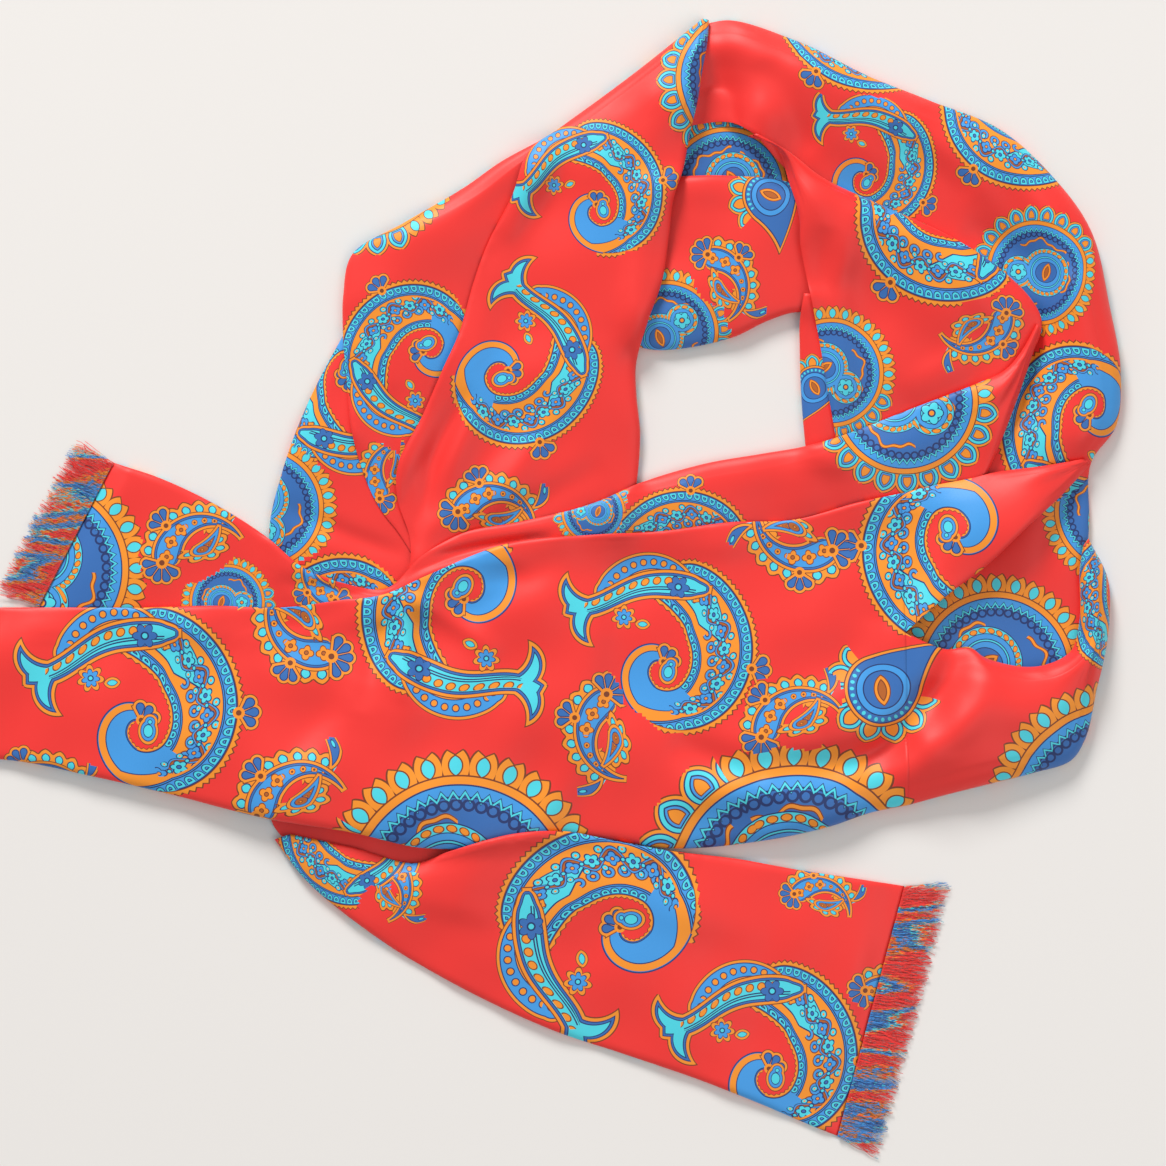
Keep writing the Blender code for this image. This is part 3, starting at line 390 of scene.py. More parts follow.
# A soft valley (depth below zero) or ridge, bent towards its middle point.
Crease = namedtuple("Crease", "stretch x0 y0 xm ym x1 y1 width depth")
CREASES = [
    Crease("front_lap turn_roll", 256, -34, 240, -78, 198, -96, 9.0, -9.0),
    Crease("front_lap turn_roll", 232, -84, 200, -104, 140, -100, 10.0, -8.0),
    Crease("front_lap turn_roll", 268, -50, 262, -84, 220, -108, 9.0, 4.0),
    Crease("front_lap turn_roll", 212, -20, 206, -56, 176, -76, 11.0, 3.0),
    Crease("front_lap", -56, -4, -26, 4, 16, 6, 4.5, -5.0),
    Crease("front_lap", -56, -6, -36, -30, -34, -70, 5.0, -4.6),
    Crease("front_lap", -54, -6, -24, -16, 2, -40, 5.0, 3.2),
    Crease("front_lap", -58, -6, -62, -34, -74, -70, 6.0, -3.4),
    Crease("front_lap", -50, -10, -44, -36, -52, -66, 5.0, 3.0),
    Crease("front_under", -54, 4, -26, 20, 34, 27, 3.5, -4.0),
    Crease("front_under", -60, -2, -84, -6, -120, 2, 5.0, -2.6),
    Crease("left_limb_low", -50, 16, -80, 24, -118, 44, 5.0, -3.0),
    Crease("left_limb_mid", -50, 14, -58, 60, -56, 110, 6.0, -3.0),
    Crease("front_lap", -10, 20, 30, 22, 80, 34, 7.0, 2.2),
    Crease("front_lap", -60, -10, -110, -22, -170, -26, 8.0, -1.8),
    Crease("front_lap", 96, -118, 134, -112, 176, -118, 9.0, 3.0),
    Crease("turn_roll", 300, -48, 318, -40, 330, -20, 6.0, -3.0),
    Crease("left_limb_top", -54, 10, -44, 60, -12, 108, 6.0, -5.0),
    Crease("left_limb_top", -44, 10, -16, 70, 0, 180, 9.0, 2.8),
    Crease("left_limb_top", -48, 8, 10, 50, 50, 120, 9.0, 3.0),
    Crease("left_limb_top", -40, 14, 14, 38, 60, 66, 7.0, -3.0),
    Crease("left_limb_top", -60, 30, -74, 70, -80, 120, 8.0, -2.4),
    Crease("left_limb_mid", -56, 10, -62, 44, -80, 80, 6.0, -2.6),
    Crease("outer_limb", 140, 296, 190, 280, 240, 250, 10.0, 2.6),
    Crease("outer_limb", 114, 336, 122, 290, 124, 226, 12.0, -6.0),
    Crease("outer_limb", 148, 288, 160, 262, 176, 238, 9.0, -3.0),
    Crease("outer_limb", 300, 156, 294, 120, 288, 84, 7.0, -5.0),
    Crease("outer_limb", 236, 262, 282, 226, 306, 180, 9.0, -3.6),
    Crease("outer_limb", 318, 80, 312, 40, 300, 0, 9.0, -2.4),
    Crease("inner_fold", 182, 196, 178, 160, 184, 120, 7.0, -2.6),
    Crease("front_lap", 150, -104, 124, -100, 96, -86, 9.0, -5.0),
    Crease("front_lap", 214, -24, 180, -26, 150, -30, 16.0, 2.5),
    Crease("front_lap", 40, 16, 10, 2, -20, -20, 8.0, -2.0),
    Crease("front_lap", -44, -4, -56, -30, -58, -60, 7.0, 2.0),
    Crease("front_lap", -36, -2, -34, -36, -20, -70, 7.0, -1.8),
    Crease("front_lap", -150, -40, -110, -56, -60, -60, 14.0, 1.5),
    Crease("left_limb_top", -40, 40, 0, 70, 30, 110, 12.0, -2.0),
    Crease("left_limb_top", -46, 26, -28, 36, -10, 48, 6.0, 2.0),
    Crease("left_limb_top", 32, 236, 16, 214, 4, 190, 8.0, 2.5),
    Crease("left_limb_top", 60, 240, 68, 190, 66, 140, 16.0, 2.0),
    Crease("left_limb_mid", -60, 150, -58, 105, -56, 60, 8.0, 2.0),
    Crease("outer_limb", 258, 196, 280, 188, 300, 176, 9.0, -3.0),
    Crease("outer_limb", 322, 172, 316, 160, 306, 146, 7.0, 3.0),
    Crease("outer_limb", 190, 262, 230, 244, 262, 214, 12.0, -3.0),
    Crease("outer_limb", 330, 100, 326, 80, 318, 60, 8.0, 2.5),
    Crease("inner_fold", 196, 176, 224, 150, 240, 120, 16.0, -2.5),
    Crease("inner_fold", 276, 132, 250, 120, 226, 104, 10.0, 2.5),
    Crease("front_under", 252, 84, 216, 72, 180, 58, 12.0, 2.0),
    Crease("front_under", -160, 26, -180, 18, -196, 4, 12.0, 1.2),
    Crease("turn_roll", 262, -64, 290, -72, 318, -76, 14.0, 2.5),
    Crease("turn_roll", 240, -52, 243, -74, 250, -96, 9.0, -2.5),
    Crease("tail", -20, -176, 20, -196, 60, -206, 14.0, -2.0),
    Crease("tail", 40, -164, 96, -178, 150, -196, 12.0, 1.8),
    Crease("tail", 100, -232, 140, -250, 176, -262, 12.0, -1.2),
    Crease("back_band", 74, 162, 92, 160, 108, 152, 6.0, -3.0),
]

# A stretch, named like the solid that it stands for, its sections, what it lies on, and, where it grows out
# of the end of another stretch, which one and between which shares of its last section. woven says which end
# is a cut, fringed one. flat is the size that is stated for its cloth when it is opened out. Lowest first.
Stretch = namedtuple(
    "Stretch", "name sections lies_on flat grows_from start stop woven", defaults=(None, 0, 1, "")
)
STRETCHES = [
    Stretch("band_inside", BAND_INSIDE, (), (60, 104)),
    Stretch("back_band", BACK_BAND, ("band_inside",), (85, 130)),
    Stretch("side_band", SIDE_BAND, ("back_band",), (30, 96)),
    Stretch("outer_limb", OUTER_LIMB, ("band_inside", "back_band", "side_band"), (85, 445)),
    Stretch("left_limb_low", LIMB_LOW, (), (60, 165)),
    Stretch("left_limb_mid", LIMB_MID, ("left_limb_low",), (53, 262)),
    Stretch(
        "left_limb_top",
        LIMB_TOP,
        ("band_inside", "back_band", "outer_limb", "left_limb_low", "left_limb_mid"),
        (120, 492),
    ),
    Stretch("inner_fold", INNER_FOLD, ("back_band", "side_band", "outer_limb", "band_inside"), (90, 167)),
    Stretch(
        "front_under",
        FRONT_UNDER,
        ("left_limb_low", "left_limb_mid", "left_limb_top", "side_band", "outer_limb", "inner_fold"),
        (52, 575),
        woven="start",
    ),
    Stretch(
        "front_lap",
        FRONT_LAP,
        ("left_limb_low", "left_limb_mid", "left_limb_top", "front_under", "outer_limb"),
        (150, 530),
        woven="start",
    ),
    Stretch("turn_roll", TURN_ROLL, ("outer_limb",), (62, 180), "front_lap", 0.445, 1.0),
    Stretch("front_flap", FRONT_FLAP, ("front_under", "outer_limb"), (50, 115), "front_lap", 0.0, 0.445),
    Stretch("tail", TAIL, ("left_limb_top", "front_lap"), (104, 335), woven="end"),
]


def hermite(at, values, wanted):
    """A smooth cubic through values, with slopes from the neighbours that overshoot little."""
    slope = np.diff(values, axis=0) / np.diff(at)[:, None]
    tangent = np.empty_like(values)
    tangent[0], tangent[-1] = slope[0], slope[-1]
    before, after = np.diff(at)[:-1, None], np.diff(at)[1:, None]
    tangent[1:-1] = (slope[:-1] * after + slope[1:] * before) / (before + after)
    i = np.clip(np.searchsorted(at, wanted, side="right") - 1, 0, len(at) - 2)
    span = (at[i + 1] - at[i])[:, None]
    t = (wanted[:, None] - at[i][:, None]) / span
    return (
        (2 * t**3 - 3 * t**2 + 1) * values[i]
        + (t**3 - 2 * t**2 + t) * span * tangent[i]
        + (-2 * t**3 + 3 * t**2) * values[i + 1]
        + (t**3 - t**2) * span * tangent[i + 1]
    )


def distances_along(table):
    """How far along the stretch's middle line each of its sections is."""
    middle = (table[:, 0:2] + table[:, 2:4]) / 2
    steps = np.maximum(np.linalg.norm(np.diff(middle, axis=0), axis=1), 1e-6)
    return np.concatenate([[0], np.cumsum(steps)])


def support_cells(x, y):
    """The row and column of the support grid that hold x, y."""
    columns, rows = (int(2 * half / SUPPORT_STEP) + 1 for half in (SUPPORT_HALF_X, SUPPORT_HALF_Y))
    column = np.clip(np.rint((x + SUPPORT_HALF_X) / SUPPORT_STEP), 0, columns - 1).astype(int)
    row = np.clip(np.rint((y + SUPPORT_HALF_Y) / SUPPORT_STEP), 0, rows - 1).astype(int)
    return row, column


def height_grid(x, y, z, pick=np.maximum, start=0.0):
    """The height of a surface on a square grid, its faces sampled finely and pick choosing in each cell."""
    size = [int(2 * half / SUPPORT_STEP) + 1 for half in (SUPPORT_HALF_Y, SUPPORT_HALF_X)]
    grid = np.full(size, start)
    shares = np.linspace(0, 1, SAMPLES_PER_CELL)
    for s in shares:
        for t in shares:
            point = [
                (1 - s) * (1 - t) * g[:-1, :-1] + s * (1 - t) * g[1:, :-1]
                + (1 - s) * t * g[:-1, 1:] + s * t * g[1:, 1:]
                for g in (x, y, z)
            ]
            pick.at(grid, support_cells(point[0], point[1]), point[2])
    return grid


def shifted_copies(grid, distance, beyond=0.0):
    """The grid moved to every cell within the distance, one copy at a time, and beyond outside it."""
    reach = int(math.ceil(distance / SUPPORT_STEP))
    padded = np.pad(grid, reach, constant_values=beyond)
    rows, columns = grid.shape
    for i in range(-reach, reach + 1):
        for j in range(-reach, reach + 1):
            if i * i + j * j <= reach * reach:
                yield padded[reach + i : reach + i + rows, reach + j : reach + j + columns]


def clear_above(grid):
    """A height that clears everything near each cell and eases down beside it, so that nothing tents."""
    highest = np.zeros_like(grid)
    for copy in shifted_copies(grid, SUPPORT_REACH):
        np.maximum(highest, copy, out=highest)
    total, copies = np.zeros_like(grid), 0
    for copy in shifted_copies(highest, SUPPORT_EASE):
        total += copy
        copies += 1
    return total / copies


def free_drop(x, y, underside, support):
    """How far the underside near each cell can come down before any of it meets the support."""
    lowest = height_grid(x, y, underside, np.minimum, np.inf)
    gap = np.where(support > 0, lowest - support, np.inf)
    nearest = np.full_like(gap, np.inf)
    for copy in shifted_copies(gap, SETTLE_REACH, np.inf):
        np.minimum(nearest, copy, out=nearest)
    return np.maximum(nearest - SEAM_GAP, 0)


def softened(grid, softness):
    """The height as soft cloth follows it, with its steps rounded off."""
    reach = int(3 * softness / SUPPORT_STEP)
    offsets = np.arange(-reach, reach + 1) * SUPPORT_STEP
    weights = np.exp(-((offsets / softness) ** 2) / 2)
    weights /= weights.sum()
    out = np.apply_along_axis(np.convolve, 0, grid, weights, "same")
    return np.apply_along_axis(np.convolve, 1, out, weights, "same")


def roundness(share):
    """0 at a rolled rim's outermost line and 1 from its inner line on, along a quarter of a circle."""
    t = np.clip(share, 0, 1)
    return np.sqrt(np.maximum(1 - (1 - t) ** 2, 0))


def crease_height(stretch, x, y):
    """What the stretch's creases add to its height at x, y."""
    total = np.zeros_like(x)
    t = np.linspace(0, 1, CREASE_SAMPLES)
    for crease in CREASES:
        if stretch not in crease.stretch.split():
            continue
        start, bend, end = (np.array(p, float) for p in (crease[1:3], crease[3:5], crease[5:7]))
        path = [(1 - t) ** 2 * start[k] + 2 * t * (1 - t) * bend[k] + t**2 * end[k] for k in (0, 1)]
        reach = 3 * crease.width
        near = (x > path[0].min() - reach) & (x < path[0].max() + reach)
        near &= (y > path[1].min() - reach) & (y < path[1].max() + reach)
        px, py = x[near], y[near]
        if not px.size:
            continue
        away = (px[:, None] - path[0]) ** 2 + (py[:, None] - path[1]) ** 2
        at = away.argmin(axis=1)
        ahead = np.clip(at + 1, 1, CREASE_SAMPLES - 1)
        dx, dy = path[0][ahead] - path[0][ahead - 1], path[1][ahead] - path[1][ahead - 1]
        step = np.maximum(np.hypot(dx, dy), 1e-9)
        rx, ry = px - path[0][ahead - 1], py - path[1][ahead - 1]
        side = (dx * ry - dy * rx) / step
        along = (ahead - 1 + (dx * rx + dy * ry) / step**2) / (CREASE_SAMPLES - 1)
        inside = np.clip(along, 0, 1)
        past = np.abs(along - inside) * crease_length(path)
        fade = (4 * inside * (1 - inside)) ** CREASE_END_POWER
        fall = np.exp(-((side / crease.width) ** 2) - (past / crease.width) ** 2)
        total[near] += crease.depth * fall * fade
    return total


def crease_length(path):
    """The length of a crease's path."""
    return np.hypot(np.diff(path[0]), np.diff(path[1])).sum()


def puff_height(x, y):
    """Slow, uneven rises and dips of soft cloth that isn't pressed."""
    total = np.zeros_like(x)
    for wave in PUFF:
        across = x * math.cos(wave.turn) + y * math.sin(wave.turn)
        bent = across + wave.bend * np.sin((y * math.cos(wave.turn) - x * math.sin(wave.turn)) / wave.length)
        total += wave.height * np.sin(2 * math.pi * bent / wave.length + wave.start)
    return total


def across_places(width, rim_a, rim_b, count):
    """Distances from edge a: a few round each rolled rim, and even ones between them."""
    squeeze = min(1.0, RIM_MOST_OF_WIDTH * width / (rim_a + rim_b))
    rise = 1 - np.cos(np.linspace(0, math.pi / 2, RIM_STEPS + 1))[:-1]
    inner_a, inner_b = rim_a * squeeze, rim_b * squeeze
    middle = np.linspace(inner_a, width - inner_b, count)
    return np.concatenate([inner_a * rise, middle, width - (inner_b * rise)[::-1]]), inner_a, inner_b


def body_across(row, u):
    """The cloth's own height at the shares u of a section."""
    heights = np.array([[row[7]], [row[4]], [row[5]], [row[6]], [row[8]]])
    return hermite(np.array([0, 0.25, 0.5, 0.75, 1]), heights, u)[:, 0]


Shell = namedtuple("Shell", "x y top bottom lift way taken")


def draped(stretch, floor, soft, shells, cell):
    """The stretch as grids, a row for each section: the underside follows the floor, the top the soft one."""
    table = np.array(stretch.sections, float)
    at = distances_along(table)
    rows = hermite(at, table, np.linspace(0, at[-1], int(round(at[-1] / cell)) + 1))
    travelled = distances_along(rows)
    widths = np.linalg.norm(rows[:, 2:4] - rows[:, 0:2], axis=1)
    count = max(4, int(round(widths.max() / cell)) + 1)
    columns = [[], [], [], [], [], []]
    parent = shells.get(stretch.grows_from)
    for row, so_far, width in zip(rows, travelled, widths):
        a, b = row[0:2], row[2:4]
        rim_a, rim_b, lift_a, lift_b = row[7:11]
        d, inner_a, inner_b = across_places(width, rim_a, rim_b, count)
        u = d / width
        x, y = a[0] + (b[0] - a[0]) * u, a[1] + (b[1] - a[1]) * u
        spine = body_across(row, u)
        lift = np.maximum(lift_a + (lift_b - lift_a) * u, 0)
        where = support_cells(x, y)
        under = floor[where] + lift
        bulge = np.minimum(roundness(d / inner_a), roundness((width - d) / inner_b))
        body = spine + crease_height(stretch.name, x, y) + puff_height(x, y) * PUFF_SHARE
        if stretch.woven:
            left = so_far if stretch.woven == "start" else travelled[-1] - so_far
            share = min(left / END_TAPER, 1.0)
            body = END_THICKNESS + (body - END_THICKNESS) * share * share * (3 - 2 * share)
        body = np.maximum(body, LEAST_WALL)
        least = np.maximum(LEAST_BODY_SHARE * body, LEAST_WALL)
        thickness = np.maximum(soft[where] + lift + body - under, least)
        rim_drop = (1 - bulge) * np.minimum(thickness, np.where(u < 0.5, rim_a, rim_b)) / 2
        top = under + thickness - rim_drop
        bottom = np.minimum(under + rim_drop, top)
        way = np.repeat([(b - a) / width], len(u), axis=0)
        for grid, values in zip(columns, (x, y, top, bottom, lift, way)):
            grid.append(values)
    x, y, top, bottom, lift, way = (np.array(grid) for grid in columns)
    top = smoothed_inside(top)
    top[0], top[-1] = 2 * top[1] - top[2], 2 * top[-2] - top[-3]
    if parent is not None:
        u = np.hypot(x[0] - x[0, 0], y[0] - y[0, 0]) / widths[0]
        step = parent_row(parent, parent.top, stretch, u, -1) - top[0]
        top += step * np.exp(-((travelled / GROWTH) ** 2))[:, None]
    top = np.maximum(top, bottom + LEAST_BODY_SHARE * LEAST_WALL)
    bottom[:, [0, -1]] = top[:, [0, -1]] = (bottom + top)[:, [0, -1]] / 2
    taken = taken_up(x, y, top, KEPT_LINE.get(stretch.name, KEPT_LINE_ELSEWHERE))
    shell = Shell(x, y, top, bottom, lift, way, taken)
    return shell if parent is None else tucked_in(shell, parent, stretch, travelled, u)


def smoothed_inside(grid):
    """The grid with small steps evened out between its rims and between its ends."""
    inside = (slice(1, -1), slice(RIM_STEPS, -RIM_STEPS))
    out = grid.copy()
    for _ in range(SMOOTHING_PASSES):
        blurred = out.copy()
        blurred[1:-1] = (out[:-2] + 2 * out[1:-1] + out[2:]) / 4
        sideways = blurred.copy()
        sideways[:, 1:-1] = (blurred[:, :-2] + 2 * blurred[:, 1:-1] + blurred[:, 2:]) / 4
        out[inside] = sideways[inside]
    return out


def parent_row(parent, values, stretch, u, row):
    """One of the parent's values on one of its sections, at the shares of it that the stretch grows from."""
    last = np.hypot(parent.x[row] - parent.x[row][0], parent.y[row] - parent.y[row][0])
    return np.interp(stretch.start + (stretch.stop - stretch.start) * u, last / last[-1], values[row])


def tucked_in(shell, parent, stretch, travelled, u):
    """The shell with one more row inside its parent, so that no line shows where it grows out of it."""
    step = parent_row(parent, parent.taken, stretch, u, -1) - shell.taken[0]
    taken = shell.taken + step * np.exp(-((travelled / PRINT_GROWTH) ** 2))[:, None]
    x, y, top, bottom, before = (
        parent_row(parent, values, stretch, u, -TUCKED_ROWS - 1)
        for values in (parent.x, parent.y, parent.top, parent.bottom, parent.taken)
    )
    top = top - TUCKED_DEPTH
    bottom = np.minimum(bottom + TUCKED_DEPTH, top)
    top[[0, -1]] = bottom[[0, -1]]
    rows = zip((x, y, top, bottom, shell.lift[0], shell.way[0], before), shell._replace(taken=taken))
    return Shell(*(np.concatenate([first[None], rest]) for first, rest in rows))


def settled(stretch, support, shells, cell):
    """The stretch laid on the support, and lowered wherever that leaves room under it."""
    clear, soft = clear_above(support), softened(support, SUPPORT_SOFTNESS)
    clear = np.where(clear > 0, clear + SEAM_GAP, 0)
    first = draped(stretch, clear, soft, shells, cell)
    drop = free_drop(first.x, first.y, first.bottom - first.lift, support)
    floor = np.maximum(clear - np.minimum(drop, clear), 0)
    return draped(stretch, softened(floor, FLOOR_SOFTNESS), soft, shells, cell)


def taken_up(x, y, top, keep):
    """How much cloth the slopes take up across a stretch, from the line that keeps its place."""
    gap = np.hypot(np.diff(x, axis=1), np.diff(y, axis=1))
    flat = np.concatenate([np.zeros((len(gap), 1)), np.cumsum(gap, axis=1)], axis=1)
    arc = np.hypot(gap, np.diff(top, axis=1))
    real = np.concatenate([np.zeros((len(gap), 1)), np.cumsum(arc, axis=1)], axis=1)
    middle = int(round(keep * (x.shape[1] - 1)))
    return (real - real[:, middle : middle + 1]) - (flat - flat[:, middle : middle + 1])


def unrolled(shell):
    """Flat cloth coordinates of the top: its place in the picture, moved across by what slopes take up."""
    return shell.x + shell.taken * shell.way[:, :, 0], shell.y + shell.taken * shell.way[:, :, 1]


def ring_mesh(name, shell):
    """A closed shell: over the top from edge a to edge b and back underneath, with flat coordinates."""
    rings, across = shell.x.shape
    u, v = unrolled(shell)
    back = slice(across - 2, 0, -1)
    step = np.hypot(np.diff(shell.x, axis=1), np.diff(shell.y, axis=1))[:, ::-1]
    beyond = np.cumsum(np.hypot(step, np.diff(shell.bottom, axis=1)[:, ::-1]), axis=1)
    under_u = u[:, -1:] + beyond * shell.way[:, -1:, 0]
    under_v = v[:, -1:] + beyond * shell.way[:, -1:, 1]
    points = np.stack(
        [
            np.concatenate([shell.x, shell.x[:, back]], axis=1),
            np.concatenate([shell.y, shell.y[:, back]], axis=1),
            np.concatenate([shell.top, shell.bottom[:, back]], axis=1),
        ],
        axis=-1,
    )
    per_ring = points.shape[1]
    flat = np.stack([np.concatenate([u, under_u], axis=1), np.concatenate([v, under_v], axis=1)], axis=-1)
    j = np.arange(per_ring)
    k = (j + 1) % per_ring
    first = np.arange(rings - 1)[:, None] * per_ring
    faces = np.stack([first + j, first + k, first + per_ring + k, first + per_ring + j], axis=-1)
    corners = np.stack([flat[:-1, j], flat[:-1, j + 1], flat[1:, j + 1], flat[1:, j]], axis=2)
    face_list = faces.reshape(-1, 4).tolist()
    uv = corners.reshape(-1, 2).tolist()
    on_top = np.broadcast_to(j < across - 1, (rings - 1, per_ring)).reshape(-1).tolist()
    for row, last in ((0, False), (rings - 1, True)):
        for cap in end_faces(row * per_ring, across, per_ring, last):
            face_list.append(cap)
            on_top.append(False)
            uv.extend(flat[row, index - row * per_ring].tolist() for index in cap)
    mesh = bpy.data.meshes.new(name)
    mesh.from_pydata((points.reshape(-1, 3) * MM).tolist(), [], face_list)
    mesh.uv_layers.new(name=UV_MAP).data.foreach_set("uv", np.array(uv).reshape(-1) * MM)
    caps = 2 * (across - 1)
    mesh.polygons.foreach_set("use_smooth", [True] * (len(face_list) - caps) + [False] * caps)
    return mesh, np.array(on_top)


def end_faces(first, across, per_ring, last):
    """The flat end of a stretch, as strips between its upper and lower points."""
    faces = []
    for j in range(across - 1):
        corners = [first + j, first + (per_ring - j) % per_ring, first + per_ring - j - 1, first + j + 1]
        if j == 0:
            corners.pop(1)
        if j == across - 2:
            corners.pop(-2)
        faces.append(corners if not last else corners[::-1])
    return faces


def outward(mesh):
    """Turns the faces round if the shell is inside out."""
    mesh.calc_loop_triangles()
    points = np.empty(3 * len(mesh.vertices), np.float32)
    mesh.vertices.foreach_get("co", points)
    index = np.empty(3 * len(mesh.loop_triangles), np.int32)
    mesh.loop_triangles.foreach_get("vertices", index)
    corners = points.reshape(-1, 3).astype(float)[index.reshape(-1, 3)]
    if np.einsum("ij,ij->i", corners[:, 0], np.cross(corners[:, 1], corners[:, 2])).sum() < 0:
        mesh.flip_normals()


class Number:
    """A number inside a material: ordinary arithmetic on it adds nodes."""

    def __init__(self, nodes, socket):
        self.nodes = nodes
        self.socket = socket

    def does(self, operation, *others):
        """The number that one Math node makes of this one and the others."""
        made = self.nodes.add("ShaderNodeMath", {"operation": operation}, enumerate((self, *others)))
        return Number(self.nodes, made.outputs[0])

    def __add__(self, other):
        return self.does("ADD", other)

    def __sub__(self, other):
        return self.does("SUBTRACT", other)

    def __rsub__(self, other):
        return self.does("MULTIPLY_ADD", -1.0, other)

    def __mul__(self, other):
        return self if isinstance(other, float) and other == 1.0 else self.does("MULTIPLY", other)

    def __lt__(self, other):
        return self.does("LESS_THAN", other)

    def __gt__(self, other):
        return self.does("GREATER_THAN", other)

    __radd__ = __add__
    __rmul__ = __mul__

    def sqrt(self):
        return self.does("SQRT")

    def abs(self):
        return self.does("ABSOLUTE")

    def sin(self):
        return self.does("SINE")

    def cos(self):
        return self.does("COSINE")

    def tanh(self):
        return self.does("TANH")

    def exp(self):
        return self.does("EXPONENT")

    def ln(self):
        return self.does("LOGARITHM", math.e)

    def floor(self):
        return self.does("FLOOR")

    def fract(self):
        return self.does("FRACT")

    def min(self, other):
        return self.does("MINIMUM", other)

    def max(self, other):
        return self.does("MAXIMUM", other)

    def clip(self, low, high):
        return self.max(low).min(high)

    def atan2(self, other):
        return self.does("ARCTAN2", other)

    def curve(self, points):
        """A smooth line through the points, level beyond them."""
        low, high = points[0][0], points[-1][0]
        top = max(y for _, y in points)
        share = ((self - low) * (1 / (high - low))).clip(0.0, 1.0)
        made = self.nodes.add("ShaderNodeFloatCurve", {}, {"Value": share}.items())
        line = made.mapping.curves[0]
        line.points[0].location = (0.0, points[0][1] / top)
        line.points[1].location = (1.0, points[-1][1] / top)
        for x, y in points[1:-1]:
            line.points.new((x - low) / (high - low), y / top)
        made.mapping.update()
        return Number(self.nodes, made.outputs[0]) * top


class Nodes:
    """The nodes of one material."""

    def __init__(self, name):
        self.material = bpy.data.materials.new(name)
        self.material.use_nodes = True
        self.tree = self.material.node_tree
        self.shader = self.tree.nodes["Principled BSDF"]

    def add(self, kind, settings, inputs):
        """A new node of this kind: its settings first, and then the values or links of its inputs."""
        made = self.tree.nodes.new(kind)
        for name, value in settings.items():
            setattr(made, name, value)
        for key, value in inputs:
            self.join(value, made.inputs[key])
        return made

    def join(self, value, socket):
        """Links a number or socket to the socket, or sets a plain value on it."""
        value = value.socket if isinstance(value, Number) else value
        if isinstance(value, bpy.types.NodeSocket):
            self.tree.links.new(value, socket)
        else:
            socket.default_value = value

    def mixed(self, colour, other, share):
        """One colour laid over another by a share of 0 to 1."""
        first, second = ((*c, 1.0) if isinstance(c, tuple) else c for c in (colour, other))
        sockets = ((0, share), (6, first), (7, second))
        return self.add("ShaderNodeMix", {"data_type": "RGBA"}, sockets).outputs[2]

    def place(self, uv_map):
        """The two flat coordinates of a UV map, in millimetres."""
        found = self.add("ShaderNodeUVMap", {"uv_map": uv_map}, ())
        parts = self.add("ShaderNodeSeparateXYZ", {}, ((0, found.outputs[0]),))
        return tuple(Number(self, parts.outputs[k]) * (1 / MM) for k in (0, 1))

    def noise(self, uv_map, scale, detail):
        """Soft noise of 0 to 1 over a UV map, its scale in cells to the metre."""
        found = self.add("ShaderNodeUVMap", {"uv_map": uv_map}, ())
        inputs = {"Vector": found.outputs[0], "Scale": scale, "Detail": detail}
        return Number(self, self.add("ShaderNodeTexNoise", {}, inputs.items()).outputs[0])


def silk_finish(nodes, colour):
    """The silk's own shine: a soft uneven gloss, a faint sheen and the diagonal ribs of the twill."""
    u, v = nodes.place(UV_MAP)
    along = ((u + v) * (2 * math.pi / TWILL_PITCH)).sin()
    ribs = along * ((u - v * TWILL_SLANT) * (2 * math.pi / TWILL_CROSS_PITCH)).sin()
    cloudy = nodes.noise(UV_MAP, SILK_CLOUD_SCALE, 3.0)
    shader = nodes.shader
    nodes.join(colour, shader.inputs["Base Color"])
    gloss = cloudy * SILK_ROUGHNESS_SPREAD + SILK_ROUGHNESS - SILK_ROUGHNESS_SPREAD / 2
    nodes.join(gloss, shader.inputs["Roughness"])
    shader.inputs["Specular IOR Level"].default_value = SILK_SPECULAR
    shader.inputs["Sheen Weight"].default_value = SILK_SHEEN
    shader.inputs["Sheen Roughness"].default_value = SILK_SHEEN_ROUGHNESS
    shader.inputs["Sheen Tint"].default_value = SILK_SHEEN_TINT
    inputs = {"Strength": TWILL_BUMP, "Distance": TWILL_DEPTH, "Height": ribs}
    bump = nodes.add("ShaderNodeBump", {}, inputs.items())
    nodes.join(bump.outputs[0], shader.inputs["Normal"])


def printed_material(name, motif):
    """Silk with one motif of the print, drawn in the motif's own coordinates on the ground colour."""
    nodes = Nodes(name)
    clouds = nodes.noise(UV_MAP, GROUND_CLOUD_SCALE, 2.0) * 0.5
    layers = [nodes.mixed(PALETTE["ground"], PALETTE["ground_deep"], clouds)]

    def paint(mask, colour):
        """Lays one dye over the layers below it, where the mask is 1."""
        layers[0] = nodes.mixed(layers[0], PALETTE[colour], mask)

    if motif:
        motif(paint, *nodes.place(MOTIF_MAP))
    silk_finish(nodes, layers[0])
    return nodes.material


def reach_of(x, y):
    """The distance from 0, 0."""
    return (x * x + y * y).sqrt()


def moved(x, y, at_x, at_y, turn=0.0):
    """x, y seen from a place and turned to its axes."""
    c, s = math.cos(turn), math.sin(turn)
    along, across = x - at_x, y - at_y
    return along * c + across * s, across * c - along * s


def repeated(run, pitch):
    """Where run lies inside the nearest of the cells of this pitch, from its middle."""
    return ((run * (1 / pitch)).fract() - 0.5) * pitch


def banded(paint, gap, bands, where=1.0):
    """Paints nested bands, each from its own distance inside the outline, the outermost first."""
    for colour, depth in bands:
        paint((gap < -depth) * where, colour)


def lens(x, y, length, width):
    """How far outside a leaf with two points, lying along x about its middle."""
    half, side = length / 2, width / 2
    offset = (half * half - side * side) / (2 * side)
    return reach_of(x, y.abs() + offset) - (offset + side)


